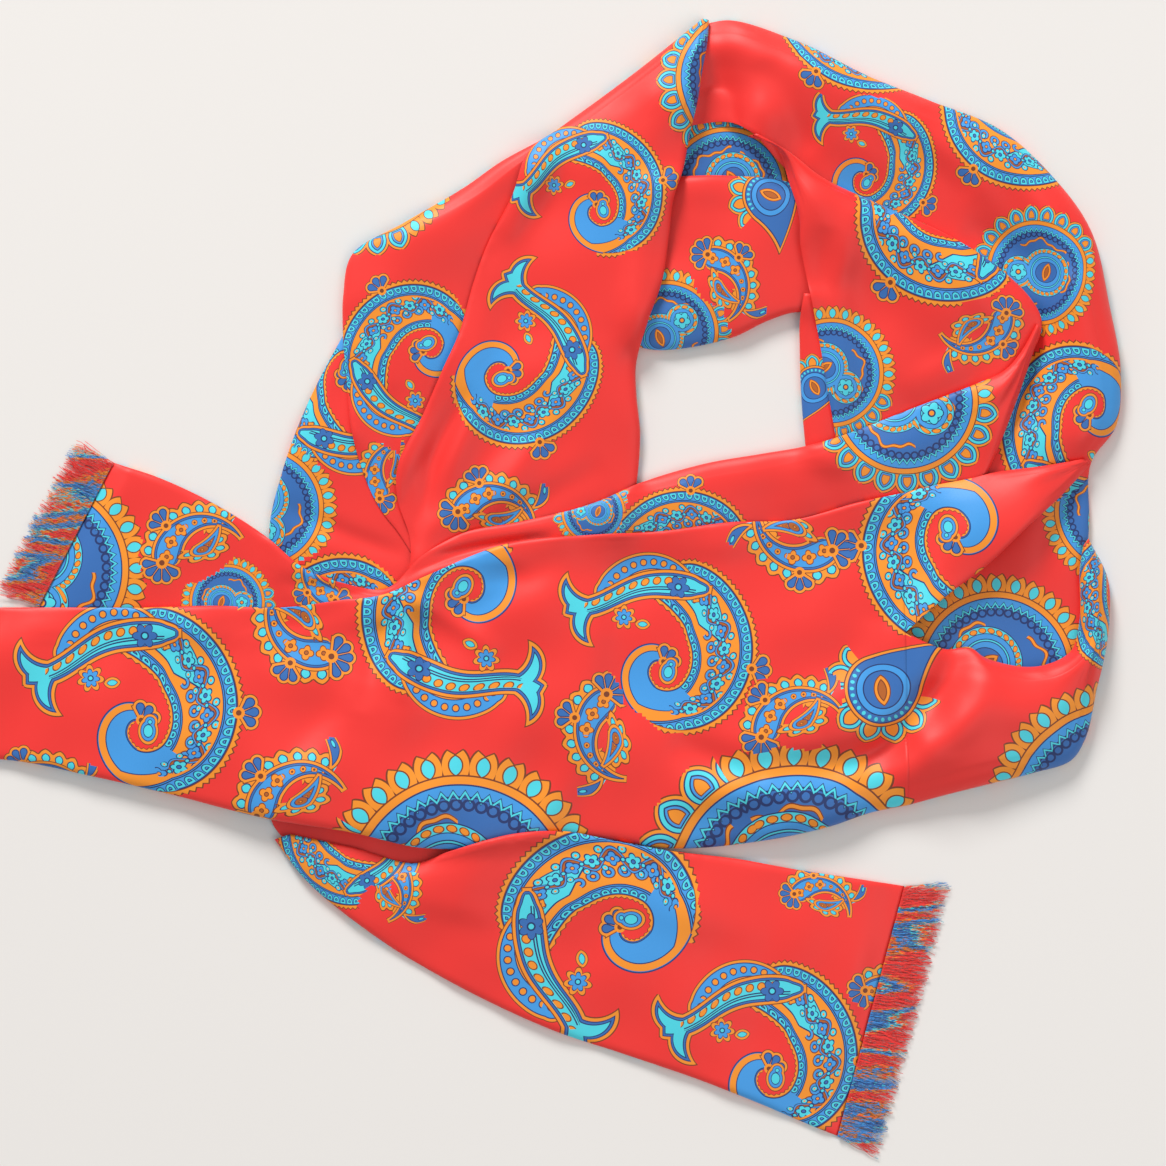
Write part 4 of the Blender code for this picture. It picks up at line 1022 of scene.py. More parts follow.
def petal(x, y, length, width):
    """How far outside a drop that has its point at 0, 0 and its round end at length along x."""
    radius = width / 2
    centre = length - radius
    sine = radius / centre
    cosine = math.sqrt(1 - sine * sine)
    side = (y.abs() * cosine - x * sine).max(x * -1)
    return (reach_of(x - centre, y) - radius).min(side.max(x - centre * cosine * cosine))


def rosette(paint, x, y, size, petals, colours, where=1.0):
    """A small round flower: outline, petals and middle."""
    outline, petal_colour, middle = colours
    r = reach_of(x, y)
    lobes = (y.atan2(x) * (petals / 2)).cos().abs() * (0.4 * size) + 0.6 * size
    paint((r < lobes + LINE) * where, outline)
    paint((r < lobes) * where, petal_colour)
    paint((r < 0.36 * size) * where, outline)
    paint((r < 0.22 * size) * where, middle)


def palmette(paint, x, y, size, petals, spread, colour):
    """A fan of petals that opens along x, with an orange rim round all of it."""
    step = spread / petals
    r = reach_of(x, y)
    angle = y.atan2(x)
    shift = 0.0 if petals % 2 else 0.5
    nearest = (angle * (1 / step) + (0.5 - shift)).floor() + shift
    nearest = nearest.clip((1 - petals) / 2, (petals - 1) / 2) * step
    off = angle - nearest
    gap = petal(r * off.cos() - 0.16 * size, r * off.sin(), 0.84 * size, 0.66 * size * step)
    banded(paint, gap, (("brown", -2.1), ("orange", -1.6), ("navy", -0.3), (colour, 0.3)))
    paint(r < 0.3 * size, "orange")
    paint(r < 0.14 * size, "brown")


def leaf_row(paint, run, out, pitch, size, where):
    """Small turquoise leaves with orange lobes round them, standing on an edge."""
    across = repeated(run, pitch)
    gap = lens(out - size / 2, across, size, 0.6 * pitch)
    lobe = reach_of((out - 0.45 * size) * (pitch / size), across) - 0.62 * pitch
    tip = lens(out - 0.62 * size, across, 1.5 * size, 0.8 * pitch)
    paint((lobe.min(tip) < 0.35 + LINE) * where, "brown")
    paint((lobe.min(tip) < 0.35) * where, "orange")
    paint((gap < 0.2) * where, "navy")
    paint((gap < -0.3) * where, "turquoise")


def toothed_band(paint, run, depth, pitch, height, where):
    """A sky-blue band whose turquoise arches stand on an edge, with a thin double line inside."""
    across = repeated(run, pitch)
    half = 0.37 * pitch
    crown = reach_of(across, (depth - (height - half)).max(0.0))
    arch = crown - half
    slot = crown - 0.52 * half
    paint((depth > 0.0) * where, "navy")
    paint((depth > LINE) * where, "sky")
    low = depth > 0.9
    paint(low * (arch < LINE * 0.85) * where, "navy")
    paint(low * (arch < 0.0) * where, "turquoise")
    paint((depth > 1.7) * (slot < 0.0) * where, "navy")
    paint((depth > 2.3) * (slot < -0.5) * where, "sky")
    paint((depth > height + 0.9) * where, "navy")
    paint((depth > height + 0.9 + LINE) * where, "sky")
    paint((depth > height + 1.9) * where, "navy")
    paint((depth > height + 1.9 + LINE) * where, "orange")


def serrated(paint, run, inside, pitch, where):
    """A rim of small orange teeth outside an edge."""
    wave = repeated(run, pitch) * (2 / pitch)
    edge = inside + wave.abs() * -1.4
    paint((edge > -3.5) * where, "brown")
    paint((edge > -2.8) * where, "orange")
    paint((inside > -0.4) * where, "brown")


def paisley(paint, x, y):
    """The large curled drop: toothed edges, a flowered field, a blue curl, a dotted cap and a forked stem."""
    growth = PAISLEY_GROWTH
    log_r = (x * x + y * y).max(0.0001).ln() * 0.5 - math.log(PAISLEY_START)
    angle = y.atan2(x)
    turns = ((log_r - angle * growth) * (1 / (2 * math.pi * growth)) + 0.5).floor()
    total = angle + turns * (2 * math.pi)
    off = log_r - total * growth
    radius = (total * growth).exp() * PAISLEY_START
    run = radius * (math.sqrt(1 + growth * growth) / growth)
    outer = total.curve(PAISLEY_OUTER)
    inner = total.curve(PAISLEY_INNER)
    from_outer = (outer - off) * radius * 1.35
    from_inner = (off + inner) * radius * 0.75
    inside = from_outer.min(from_inner)
    drop = (total > 0.5) * (total < 8.2)
    body = (total > 4.45) * (total < 8.2)
    curl = (total > 0.5) * (total < 4.6)
    # The rims: small teeth round the body, and a plain band round the curl.
    serrated(paint, run * 1.7, from_outer, 4.0, body * (from_inner > 0.0))
    serrated(paint, run * 0.6, from_inner, 3.4, (total > 2.2) * (total < 8.1) * (from_outer > 0.0))
    banded(paint, inside * -1, (("navy", -0.9), ("royal", -0.4), ("navy", 0.6), ("orange", 1.0)), curl)
    # The field and its two toothed bands.
    paint(drop * (inside > 0.0), "orange")
    late = (5.3 - total).max(0.0) * 10.5
    outer_depth, inner_depth = from_outer + late, from_inner + late * 0.7
    toothed_band(paint, run * 1.7, outer_depth, 6.2, 4.6, body * (inside > 0.0) * (outer_depth < 8.0))
    toothed_band(paint, run * 0.58, inner_depth, 4.6, 3.9, body * (inside > 0.0) * (inner_depth < 7.2))
    # The curl's blue fill, inside its orange band.
    tip = (total - 4.3).max(0.0) * 9.0
    blue = (total > 0.5) * (total < 5.7) * (from_inner > 0.0)
    paint(blue * (from_outer - tip > 3.3), "navy")
    paint(blue * (from_outer - tip > 3.9) * (from_inner > 0.7), "sky")
    flowered_field(paint, run, total, from_outer, from_inner)
    crests(paint, x, y)
    rise = ((x + 34.0) * (1 / 18.0)).tanh()
    stem_y = y - rise * 13.0 - 40.0
    dotted_cap(paint, x, y, stem_y)
    forked_stem(paint, x, y, rise, stem_y)
    stem_flowers(paint, x, y)


def flowered_field(paint, run, total, from_outer, from_inner):
    """Flowers, rings, dots and a vine along the paisley's field, and a turquoise heart in its head."""
    field = (total > 5.1) * (from_outer > 8.4) * (from_inner > 7.6)
    taper = (7.3 - total).max(0.0) * 16.0
    core = field * (total > 6.7) * (from_outer - taper > 10.6) * (from_inner - taper > 9.8)
    paint(core, "navy")
    paint(core * (from_outer - taper > 11.3) * (from_inner - taper > 10.5), "turquoise")
    ring = reach_of(repeated(run * 0.66, 6.0), from_inner - 12.2)
    rings = (total > 5.6) * (total < 7.1) * (from_outer > 15.0)
    banded(paint, ring, (("brown", -2.7), ("sky", -2.2), ("navy", -1.2), ("orange", -0.7)), rings)
    middle = (from_outer - from_inner) * 0.5
    wide = middle * -1 - 0.4
    along = repeated(run, 9.5)
    odd = (run * (1 / 19.0)).fract() > 0.5
    vine = (wide - (run * (2 * math.pi / 19.0)).sin() * 3.6).abs()
    head_side = (total > 5.35) * field
    banded(paint, vine, (("navy", -2.4), ("sky", -1.9), ("brown", -1.1), ("rust", -0.5)), head_side)
    rosette(paint, along, wide, 3.4, 5, ("navy", "turquoise", "royal"), field * odd)
    rosette(paint, along, wide, 3.2, 4, ("navy", "sky", "orange"), field * (1 - odd))
    dot = reach_of(repeated(run + 4.75, 9.5), wide.abs() - 4.6)
    banded(paint, dot, (("navy", -1.9), ("turquoise", -1.4), ("orange", -0.6)), field)
    pip = reach_of(repeated(run + 4.75, 9.5), wide)
    banded(paint, pip, (("navy", -1.2), ("turquoise", -0.75)), field)


def crests(paint, x, y):
    """The paisley's fans: one with a bud at the end of its curl, and one outside its body."""
    cx, cy = moved(x, y, 1.0, 5.0, 0.9)
    palmette(paint, cx, cy, 9.5, 3, 2.2, "royal")
    bx, by = moved(x, y, 5.0, -1.0)
    bud = (reach_of(bx, by * 0.75) - 4.0).min(reach_of(bx - 1.0, by - 5.0) - 2.6)
    bands = (
        ("brown", -1.9), ("orange", -1.5), ("navy", -0.4), ("sky", 0.0), ("navy", 1.2), ("turquoise", 1.6),
    )
    banded(paint, bud, bands)
    sx, sy = moved(x, y, 55.0, 9.0, 0.05)
    palmette(paint, sx, sy, 11.0, 3, 2.1, "royal")


def dotted_cap(paint, x, y, stem_y):
    """The paisley's cap: a dark field with a wavy line and a leaf, under a comma of dots."""
    ax, ay = x + 12.0, y - 36.0
    arc = reach_of(ax, ay)
    turn = ay.atan2(ax)
    cap = (arc - 26.0).max(stem_y * -1 - 1.0).max((0.3 - turn) * 27.0).max(x - 13.0)
    banded(paint, cap, (("brown", -1.6), ("orange", -1.2), ("navy", 0.2), ("royal", 0.7)))
    swell = (arc - 22.5 + (turn * 9.0).sin() * 1.1).abs()
    on_cap = (cap < 0.2) * (arc < 26.0)
    banded(paint, swell, (("navy", -1.2), ("orange", -0.7)), on_cap)
    lx, ly = moved(x, y, -18.0, 53.0, 0.22)
    leaf = lens(lx, ly, 24.0, 6.4)
    banded(paint, leaf, (("navy", -0.6), ("turquoise", 0.0), ("navy", 1.2), ("sky", 1.6)))
    comma_run = turn * 30.0
    comma_half = turn.curve(
        ((0.35, 0.0), (0.8, 2.2), (1.6, 4.0), (2.4, 5.0), (2.85, 5.6), (3.02, 4.6), (3.13, 0.0))
    )
    comma = (arc - 28.5).abs() - comma_half
    eye = reach_of(x + 39.5, y - 42.0)
    comma = comma.max((0.35 - turn) * 30.0).min(eye - 6.4)
    banded(paint, comma, (("brown", -2.2), ("orange", -1.7), ("navy", -0.3), ("sky", 0.3)))
    bead = reach_of(repeated(comma_run, 6.6), arc - 28.5) - 1.7
    banded(paint, bead, (("navy", -LINE), ("orange", 0.0)), (turn > 0.85) * (turn < 2.75))
    banded(paint, eye, (("navy", -2.9), ("orange", -2.4)))


def forked_stem(paint, x, y, rise, stem_y):
    """The paisley's stem, bent like an S, with orange lobes, two grooves and a fork at its end."""
    steep = (rise * rise) * 0.2 + 0.8
    half = x.curve(
        (
            (-64.0, 1.0), (-56.0, 3.6), (-45.0, 4.2), (-30.0, 4.6), (-14.0, 5.6), (2.0, 6.2), (16.0, 3.5),
            (22.0, 0.0),
        )
    )
    stem = stem_y.abs() * steep - half
    stem = stem.max(x - 21.0).max(x * -1 - 62.0)
    tail_x, tail_y = moved(x, y, -44.0, 34.0, math.radians(208.0))
    tail_turn = tail_y.atan2(tail_x)
    tail_reach = reach_of(tail_x, tail_y)
    lobes = (tail_turn * 1.6).sin().abs()
    flare = tail_turn.abs() * tail_reach - (tail_reach * tail_reach * 0.035 + 2.6)
    fork = (tail_reach - (lobes * 10.0 + 14.0)).max(flare) * 0.85
    whole = stem.min(fork)
    bands = (
        ("brown", -3.0), ("orange", -2.4), ("navy", -0.9), ("royal", -0.4), ("navy", 0.5), ("turquoise", 1.0),
    )
    banded(paint, whole, bands)
    lobe = reach_of(repeated(x, 7.0), stem_y - 2.2) - 2.0
    on_stem = (x > -52.0) * (x < 4.0) * (stem < -1.2)
    banded(paint, lobe, (("brown", -LINE), ("orange", 0.0)), on_stem)
    groove = (stem_y + 1.7).abs().min((stem_y + 3.2).abs())
    paint((x > -50.0) * (x < 14.0) * (stem < -1.3) * (groove < 0.4), "navy")


def stem_flowers(paint, x, y):
    """The flower on the paisley's cap, and the flower and the seed under its stem."""
    rosette(paint, x - 3.0, y - 51.5, 6.6, 6, ("navy", "royal", "turquoise"))
    fx, fy = moved(x, y, -27.0, 28.0, -1.0)
    rosette(paint, fx, fy, 7.4, 7, ("brown", "orange", "navy"))
    rosette(paint, fx, fy, 4.8, 7, ("navy", "sky", "turquoise"))
    seed_x, seed_y = moved(x, y, -15.0, 25.5, 0.1)
    seed = lens(seed_x, seed_y, 7.0, 4.2)
    banded(paint, seed, (("brown", -1.3), ("orange", -0.9), ("navy", 0.3), ("turquoise", 0.7)))


def sprig(paint, x, y):
    """The flowered crescent: leaves along its back, a small drop in its hollow, and fans at its ends."""
    bend = 25.0
    cx = x + bend
    r = reach_of(cx, y)
    turn = y.atan2(cx)
    run = turn * bend
    off = r - bend
    half = run.curve(
        (
            (-36.0, 0.0), (-30.0, 0.7), (-18.0, 2.2), (-4.0, 4.4), (10.0, 6.6), (20.0, 7.6), (26.0, 6.6),
            (29.0, 4.4), (30.5, 0.0),
        )
    )
    inside = (half - off.abs()).min(run + 36.0)
    on = (run > -38.0) * (run < 30.5)
    back = (run > -27.0) * (run < 25.0) * (off > 0.0)
    leaf_row(paint, run, off - half - 1.2, 6.2, 5.6, back)
    hollow = reach_of(repeated(run, 6.0), off + half + 2.0) - 3.0
    under = (run > -30.0) * (run < -10.0) * (off < 0.0)
    banded(paint, hollow, (("brown", -LINE), ("orange", 0.0)), under)
    bands = (("brown", -2.3), ("orange", -1.8), ("navy", -0.4), ("royal", 0.1), ("navy", 1.0), ("sky", 1.4))
    banded(paint, inside * -1, bands, on)
    flowers = (run > 1.0) * (run < 27.0) * (inside > 1.4)
    rosette(paint, repeated(run + 0.5, 9.6), off, 3.9, 4, ("brown", "orange", "rust"), flowers)
    ring = reach_of(repeated(run + 2.0, 6.2), off)
    rings = (run < 0.5) * (run > -24.0) * (inside > 1.2)
    banded(paint, ring, (("brown", -1.9), ("orange", -1.5), ("brown", -0.7)), rings)
    hollow_drop(paint, x, y)
    sprig_ends(paint, x, y)


def hollow_drop(paint, x, y):
    """The small drop in the crescent's hollow, with leaves round its far side."""
    dx, dy = moved(x, y, -9.0, -15.0, 2.3)
    bent = dy + dx * dx * 0.02 - 2.0
    gap = petal(dx, bent, 20.0, 8.4)
    ray = reach_of(dx - 14.0, bent)
    around = bent.atan2(dx - 14.0)
    leaf_row(paint, around * 8.0, ray - 5.2, 6.0, 5.0, (around > -0.9) * (around < 2.9))
    bands = (("brown", -2.0), ("orange", -1.6), ("navy", -0.4), ("sky", 0.0), ("navy", 1.3), ("rust", 1.7))
    banded(paint, gap, bands)
    pips = reach_of(repeated(dx, 3.6), bent)
    banded(paint, pips, (("brown", -0.9), ("orange", -0.5)), gap < -2.2)


def sprig_ends(paint, x, y):
    """The crescent's fans, and the comma at its narrow end."""
    hx, hy = moved(x, y, -12.0, 24.5, 2.3)
    palmette(paint, hx, hy, 12.0, 5, 3.0, "royal")
    kx, ky = moved(x, y, 6.5, 11.0, 0.35)
    palmette(paint, kx, ky, 10.5, 3, 1.9, "royal")
    tx, ty = moved(x, y, -9.0, -25.0, 5.2)
    curve = ty - tx * tx * 0.045
    comma = petal(tx, curve, 16.0, 8.6)
    banded(paint, comma, (("brown", -1.5), ("orange", -1.0), ("navy", 0.2), ("royal", 0.7)))
    banded(paint, reach_of(tx - 11.6, curve), (("navy", -1.7), ("turquoise", -1.2)))


def medallion(paint, x, y):
    """The round medallion: flames on one side and kites on the other, rings and a beaded figure."""
    r = reach_of(x, y)
    angle = y.atan2(x)
    rim = 42.0
    pitch = 2 * math.pi * rim / 28
    run = angle * rim
    across = repeated(run, pitch)
    out = r - rim
    upper = angle > 0.0
    notch = (across.abs() - 2.4).abs() * 0.8
    flame = lens(out - 2.6, across, 17.0, 9.4).max(out - 9.0 + notch)
    banded(paint, flame, (("brown", -LINE), ("orange", 0.0)), upper)
    jewel = lens(out - 3.4, across, 7.4, 4.6)
    banded(paint, jewel, (("brown", -0.3), ("turquoise", 0.2)), upper)
    wide = repeated(run, 1.25 * pitch)
    kite = lens(out - 3.2, wide, 17.0, 11.4).max((out - 3.2) * -1 - 5.0)
    bands = (
        ("brown", -1.2), ("orange", -0.7), ("navy", 0.3), ("turquoise", 0.8), ("navy", 2.1), ("sky", 2.6),
        ("brown", 3.3), ("orange", 3.7),
    )
    banded(paint, kite, bands, 1 - upper)
    rings = (
        ("brown", -42.0), ("orange", -41.4), ("navy", -38.6), ("sky", -38.0), ("navy", -34.2),
        ("royal", -33.6),
    )
    banded(paint, r, rings)
    zigzag = (r + repeated(run, 5.2).abs() * 1.2 - 35.6).abs()
    banded(paint, zigzag, (("navy", -1.1), ("turquoise", -0.6)), r < 37.6)
    scallop = (reach_of(repeated(run, 6.2) * 0.72, r - 31.0) - 1.9).abs()
    paint((scallop < 0.5) * (r < 33.0), "navy")
    vine = (r - 26.0 + (angle * 7.0).sin() * 1.6 + (angle * 16.0).sin() * 0.8).abs()
    on_vine = (angle * 2.5 + 0.6).sin() > -0.35
    banded(paint, vine, (("brown", -1.15), ("orange", -0.65)), on_vine)
    beaded_figure(paint, x, y, angle)


def beaded_figure(paint, x, y, angle):
    """The medallion's middle: two discs run together, edged with beads, with a leaf and a flower in them."""
    one = reach_of(x + 6.0, y - 2.0) - 19.0
    two = reach_of(x - 15.0, y + 6.0) - 12.5
    figure = one.min(two)
    beads = reach_of(repeated(angle * 16.0, 3.4), figure + 1.7) - 1.15
    banded(paint, figure, (("navy", -0.6), ("turquoise", -0.1)))
    banded(paint, beads, (("brown", -0.35), ("orange", 0.0)), figure < 0.0)
    bands = (("navy", 3.2), ("sky", 3.6), ("navy", 6.0), ("turquoise", 6.5), ("navy", 7.2), ("sky", 7.7))
    banded(paint, figure, bands)
    eye = reach_of((x + 6.0) * 0.9, y - 2.0)
    banded(paint, eye, (("navy", -8.4), ("royal", -7.9)))
    dx, dy = moved(x, y, -6.0, 2.0, 0.9)
    leaf = lens(dx, dy, 15.0, 6.6)
    banded(paint, leaf, (("brown", -0.4), ("orange", 0.1), ("brown", 1.4), ("rust", 1.8)))
    rosette(paint, x - 15.0, y + 6.0, 6.5, 5, ("navy", "turquoise", "orange"))


def pear(paint, x, y):
    """The hanging drop: kites round its broad end, rings that follow its outline and a leaf inside."""
    back = x.min(0.0)
    bent = y - back * back * 0.012
    angle = bent.atan2(x)
    out = reach_of(x, bent) - 17.0
    kite = lens(out - 2.0, repeated(angle * 17.0, 9.0), 15.0, 9.6)
    bands = (
        ("brown", -1.0), ("orange", -0.6), ("navy", 0.3), ("turquoise", 0.7), ("navy", 1.8), ("orange", 2.3),
    )
    banded(paint, kite, bands, angle.abs() < 1.9)
    gap = petal(x + 33.0, bent, 50.0, 34.0)
    banded(paint, gap, (("brown", -0.9), ("orange", -0.3), ("navy", 0.9), ("royal", 1.5)))
    banded(paint, reach_of(x, bent), (("navy", -12.4), ("sky", -11.8), ("navy", -9.2), ("royal", -8.6)))
    bead = reach_of(repeated(angle * 17.0, 3.8), out + 2.9) - 1.0
    paint((angle.abs() < 1.7) * (bead < 0.0), "turquoise")
    leaf_x, leaf_y = moved(x, bent, 0.5, 0.0, 0.7)
    leaf = lens(leaf_x, leaf_y, 14.0, 7.0)
    banded(paint, leaf, (("brown", -0.4), ("orange", 0.1), ("brown", 1.3), ("rust", 1.8)))


# Where each motif of the print lies on the cloth, in the flat coordinates of the stretches that it is on.
# turn is in degrees, and flip turns the motif over. cover lists circles that hold all of a motif.
Motif = namedtuple("Motif", "stretches kind x y turn size flip", defaults=(False,))
LAP = "front_lap turn_roll front_flap"
MOTIFS = [
    Motif(LAP, "paisley", -196, -80, 0, 1.0),
    Motif(LAP, "paisley", 91, -47, -9, 0.9),
    Motif(LAP, "paisley", -14, -4, 150, 0.98),
    Motif(LAP, "paisley", 254, 30, 180, 0.95),
    Motif(LAP, "sprig", -116, -31, 225, 1.0),
    Motif(LAP, "sprig", -116, -106, 120, 1.0),
    Motif(LAP, "sprig", 50, -84, 180, 0.95, True),
    Motif(LAP, "sprig", 160, -64, 120, 0.9),
    Motif(LAP, "sprig", 160, 16, 250, 0.95),
    Motif(LAP, "sprig", -250, -104, 100, 0.9),
    Motif(LAP, "medallion", -19, -168, -30, 1.5),
    Motif(LAP, "medallion", 162, -168, -60, 1.6),
    Motif(LAP, "medallion", 342, -126, 45, 1.35),
    Motif(LAP, "pear", 213, -58, 238, 1.2),
    Motif(LAP, "paisley", 356, 2, 182, 0.75),
    Motif("left_limb_top", "paisley", 3, 117, -70, 0.8),
    Motif("left_limb_top", "paisley", 56, 205, 15, 0.72),
    Motif("left_limb_top", "medallion", -70, 232, 300, 0.95),
    Motif("left_limb_top", "medallion", 137, 278, 270, 0.9),
    Motif("left_limb_top", "sprig", 0, 50, 90, 0.85),
    Motif("left_limb_mid", "paisley", -36, 129, 120, 0.75),
    Motif("left_limb_mid", "sprig", -66, 66, 160, 0.7),
    Motif("left_limb_mid", "medallion", -70, 232, 300, 0.95),
    Motif("left_limb_low", "medallion", -128, 42, -60, 0.8),
    Motif("left_limb_low", "paisley", -74, -24, 135, 0.85),
    Motif("left_limb_low", "paisley", -78, 118, 160, 0.8),
    Motif("outer_limb", "paisley", 283, 269, 235, 0.8),
    Motif("outer_limb", "paisley", 330, 96, 150, 0.85),
    Motif("outer_limb", "paisley", 202, 223, -30, 0.65),
    Motif("outer_limb", "medallion", 300, 172, 200, 0.7),
    Motif("outer_limb", "medallion", 276, -48, -20, 1.05),
    Motif("outer_limb", "paisley", 196, 322, 235, 0.8),
    Motif("outer_limb", "medallion", 342, 40, 120, 0.8),
    Motif("inner_fold", "paisley", 239, 211, 235, 0.9),
    Motif("inner_fold", "medallion", 184, 116, -20, 0.72),
    Motif("inner_fold", "sprig", 270, 132, 300, 0.75),
    Motif("back_band", "pear", 152, 214, 120, 0.9),
    Motif("back_band", "sprig", 134, 170, 30, 0.75),
    Motif("back_band", "medallion", 94, 138, 60, 0.7),
    # The medallion inside the cavity under the outer limb sits low, so that its dark royal field fills the
    # cavity: a print motif that also stands in for painted shade there.
    Motif("band_inside", "medallion", 128, 219, 250, 0.8),
    Motif("side_band", "pear", 176, 108, 80, 0.7),
    Motif("front_under", "paisley", 113, 10, 88, 0.75),
    Motif("front_under", "medallion", 226, 100, 0, 0.95),
    Motif("front_under", "medallion", 54, 40, 200, 0.42),
    Motif("front_under", "medallion", -148, -10, 20, 0.5),
    Motif("front_under", "medallion", -250, 8, -70, 1.15),
    Motif("front_under", "sprig", -170, 32, 120, 0.9),
    Motif("front_under", "sprig", -102, 4, 200, 0.7),
    Motif("tail", "paisley", 74, -190, 92, 1.05),
    Motif("tail", "paisley", 150, -272, 0, 0.92),
    Motif("tail", "paisley", -84, -130, 205, 0.7),
    Motif("tail", "sprig", 182, -166, 80, 0.65),
    Motif("tail", "sprig", -50, -164, 20, 0.7),
    Motif("tail", "sprig", 226, -226, 60, 0.8),
]
COVER = {
    "paisley": ((18, 16, 53), (0, 0, 39), (-6, 40, 36), (-30, 42, 33), (-55, 27, 27), (60, 9, 14)),
    "pear": ((0, 0, 28), (-16, 4, 18), (-30, 10, 13)),
    "sprig": ((0, 0, 24), (-10, 24, 22), (-12, -28, 18), (-24, 2, 21), (10, 12, 18)),
    "medallion": ((0, 0, 54),),
}
KINDS = {"paisley": paisley, "sprig": sprig, "medallion": medallion, "pear": pear}

# The plain repeat of the sides that don't show: its steps, how far the odd rows are moved, and one group.
LATTICE_STEP = (170.0, 150.0)
LATTICE_SHIFT = 60
LATTICE_REACH = 4
LATTICE_GROUP = (
    ("paisley", 0, 0, 1.0), ("sprig", 85, -45, 0.9), ("medallion", 70, 55, 0.6), ("pear", 20, -78, 0.9),
)


def lattice():
    """The print of the sides that don't show in the picture: one group of motifs, repeated."""
    rows = []
    for i in range(-LATTICE_REACH, LATTICE_REACH + 1):
        for j in range(-LATTICE_REACH, LATTICE_REACH + 1):
            for kind, dx, dy, size in LATTICE_GROUP:
                x, y = i * LATTICE_STEP[0] + dx + (j % 2) * LATTICE_SHIFT, j * LATTICE_STEP[1] + dy
                rows.append(Motif("", kind, x, y, (97 * i + 61 * j) % 360, size, (i + j) % 2 == 1))
    return rows


def in_motif(motif, points):
    """The points in the motif's own axes and size."""
    turn = math.radians(motif.turn)
    dx, dy = points[:, 0] - motif.x, points[:, 1] - motif.y
    x = (dx * math.cos(turn) + dy * math.sin(turn)) / motif.size
    y = (dy * math.cos(turn) - dx * math.sin(turn)) / motif.size
    return x, -y if motif.flip else y


def print_on(mesh, name, on_top):
    """Gives each face the nearest motif: its own coordinates on a second UV map, and its material."""
    loops = len(mesh.loops)
    flat = np.empty(2 * loops, np.float32)
    mesh.uv_layers[UV_MAP].uv.foreach_get("vector", flat)
    flat = flat.reshape(-1, 2).astype(float) / MM
    sides = np.empty(len(mesh.polygons), np.int32)
    mesh.polygons.foreach_get("loop_total", sides)
    starts = np.concatenate([[0], np.cumsum(sides)[:-1]])
    centres = np.add.reduceat(flat, starts, axis=0) / sides[:, None]
    place = flat * 0.0
    index = np.zeros(len(sides), np.int32)
    best = np.zeros(len(sides))
    shown = [motif for motif in MOTIFS if name in motif.stretches.split()]
    for rows, faces in ((shown, on_top), (lattice(), ~on_top)):
        for motif in rows:
            x, y = in_motif(motif, centres)
            reach = np.min([np.hypot(x - a, y - b) - r for a, b, r in COVER[motif.kind]], axis=0) * motif.size
            better = faces & (reach < best)
            if not better.any():
                continue
            best[better] = reach[better]
            index[better] = 1 + list(KINDS).index(motif.kind)
            corners = np.repeat(better, sides)
            place[corners] = np.stack(in_motif(motif, flat[corners]), axis=1)
    mesh.uv_layers.new(name=MOTIF_MAP).uv.foreach_set("vector", (place * MM).astype(np.float32).reshape(-1))
    mesh.uv_layers.active = mesh.uv_layers[UV_MAP]
    mesh.polygons.foreach_set("material_index", index)


# One fringed end: the line it hangs from, from a to b, and the way its threads point at a and at b.
Fringe = namedtuple("Fringe", "node carrier ax ay bx by out_ax out_ay out_bx out_by")
FRINGES = [
    Fringe("tail_fringe", "tail", 226, -167, 189, -305, 0.99, -0.02, 0.93, -0.36),
    Fringe("left_end_fringe_upper", "front_under", -211, 67, -252, -12, -0.89, 0.45, -0.94, 0.34),
    Fringe("left_end_fringe_lower", "front_lap", -277, -13, -324, -98, -0.97, 0.22, -0.97, 0.25),
]


def named_input(tree, name, value):
    """An input of the group, a whole number or a length by the kind of its value."""
    kind = "NodeSocketInt" if isinstance(value, int) else "NodeSocketFloat"
    tree.interface.new_socket(name=name, in_out="INPUT", socket_type=kind).default_value = value


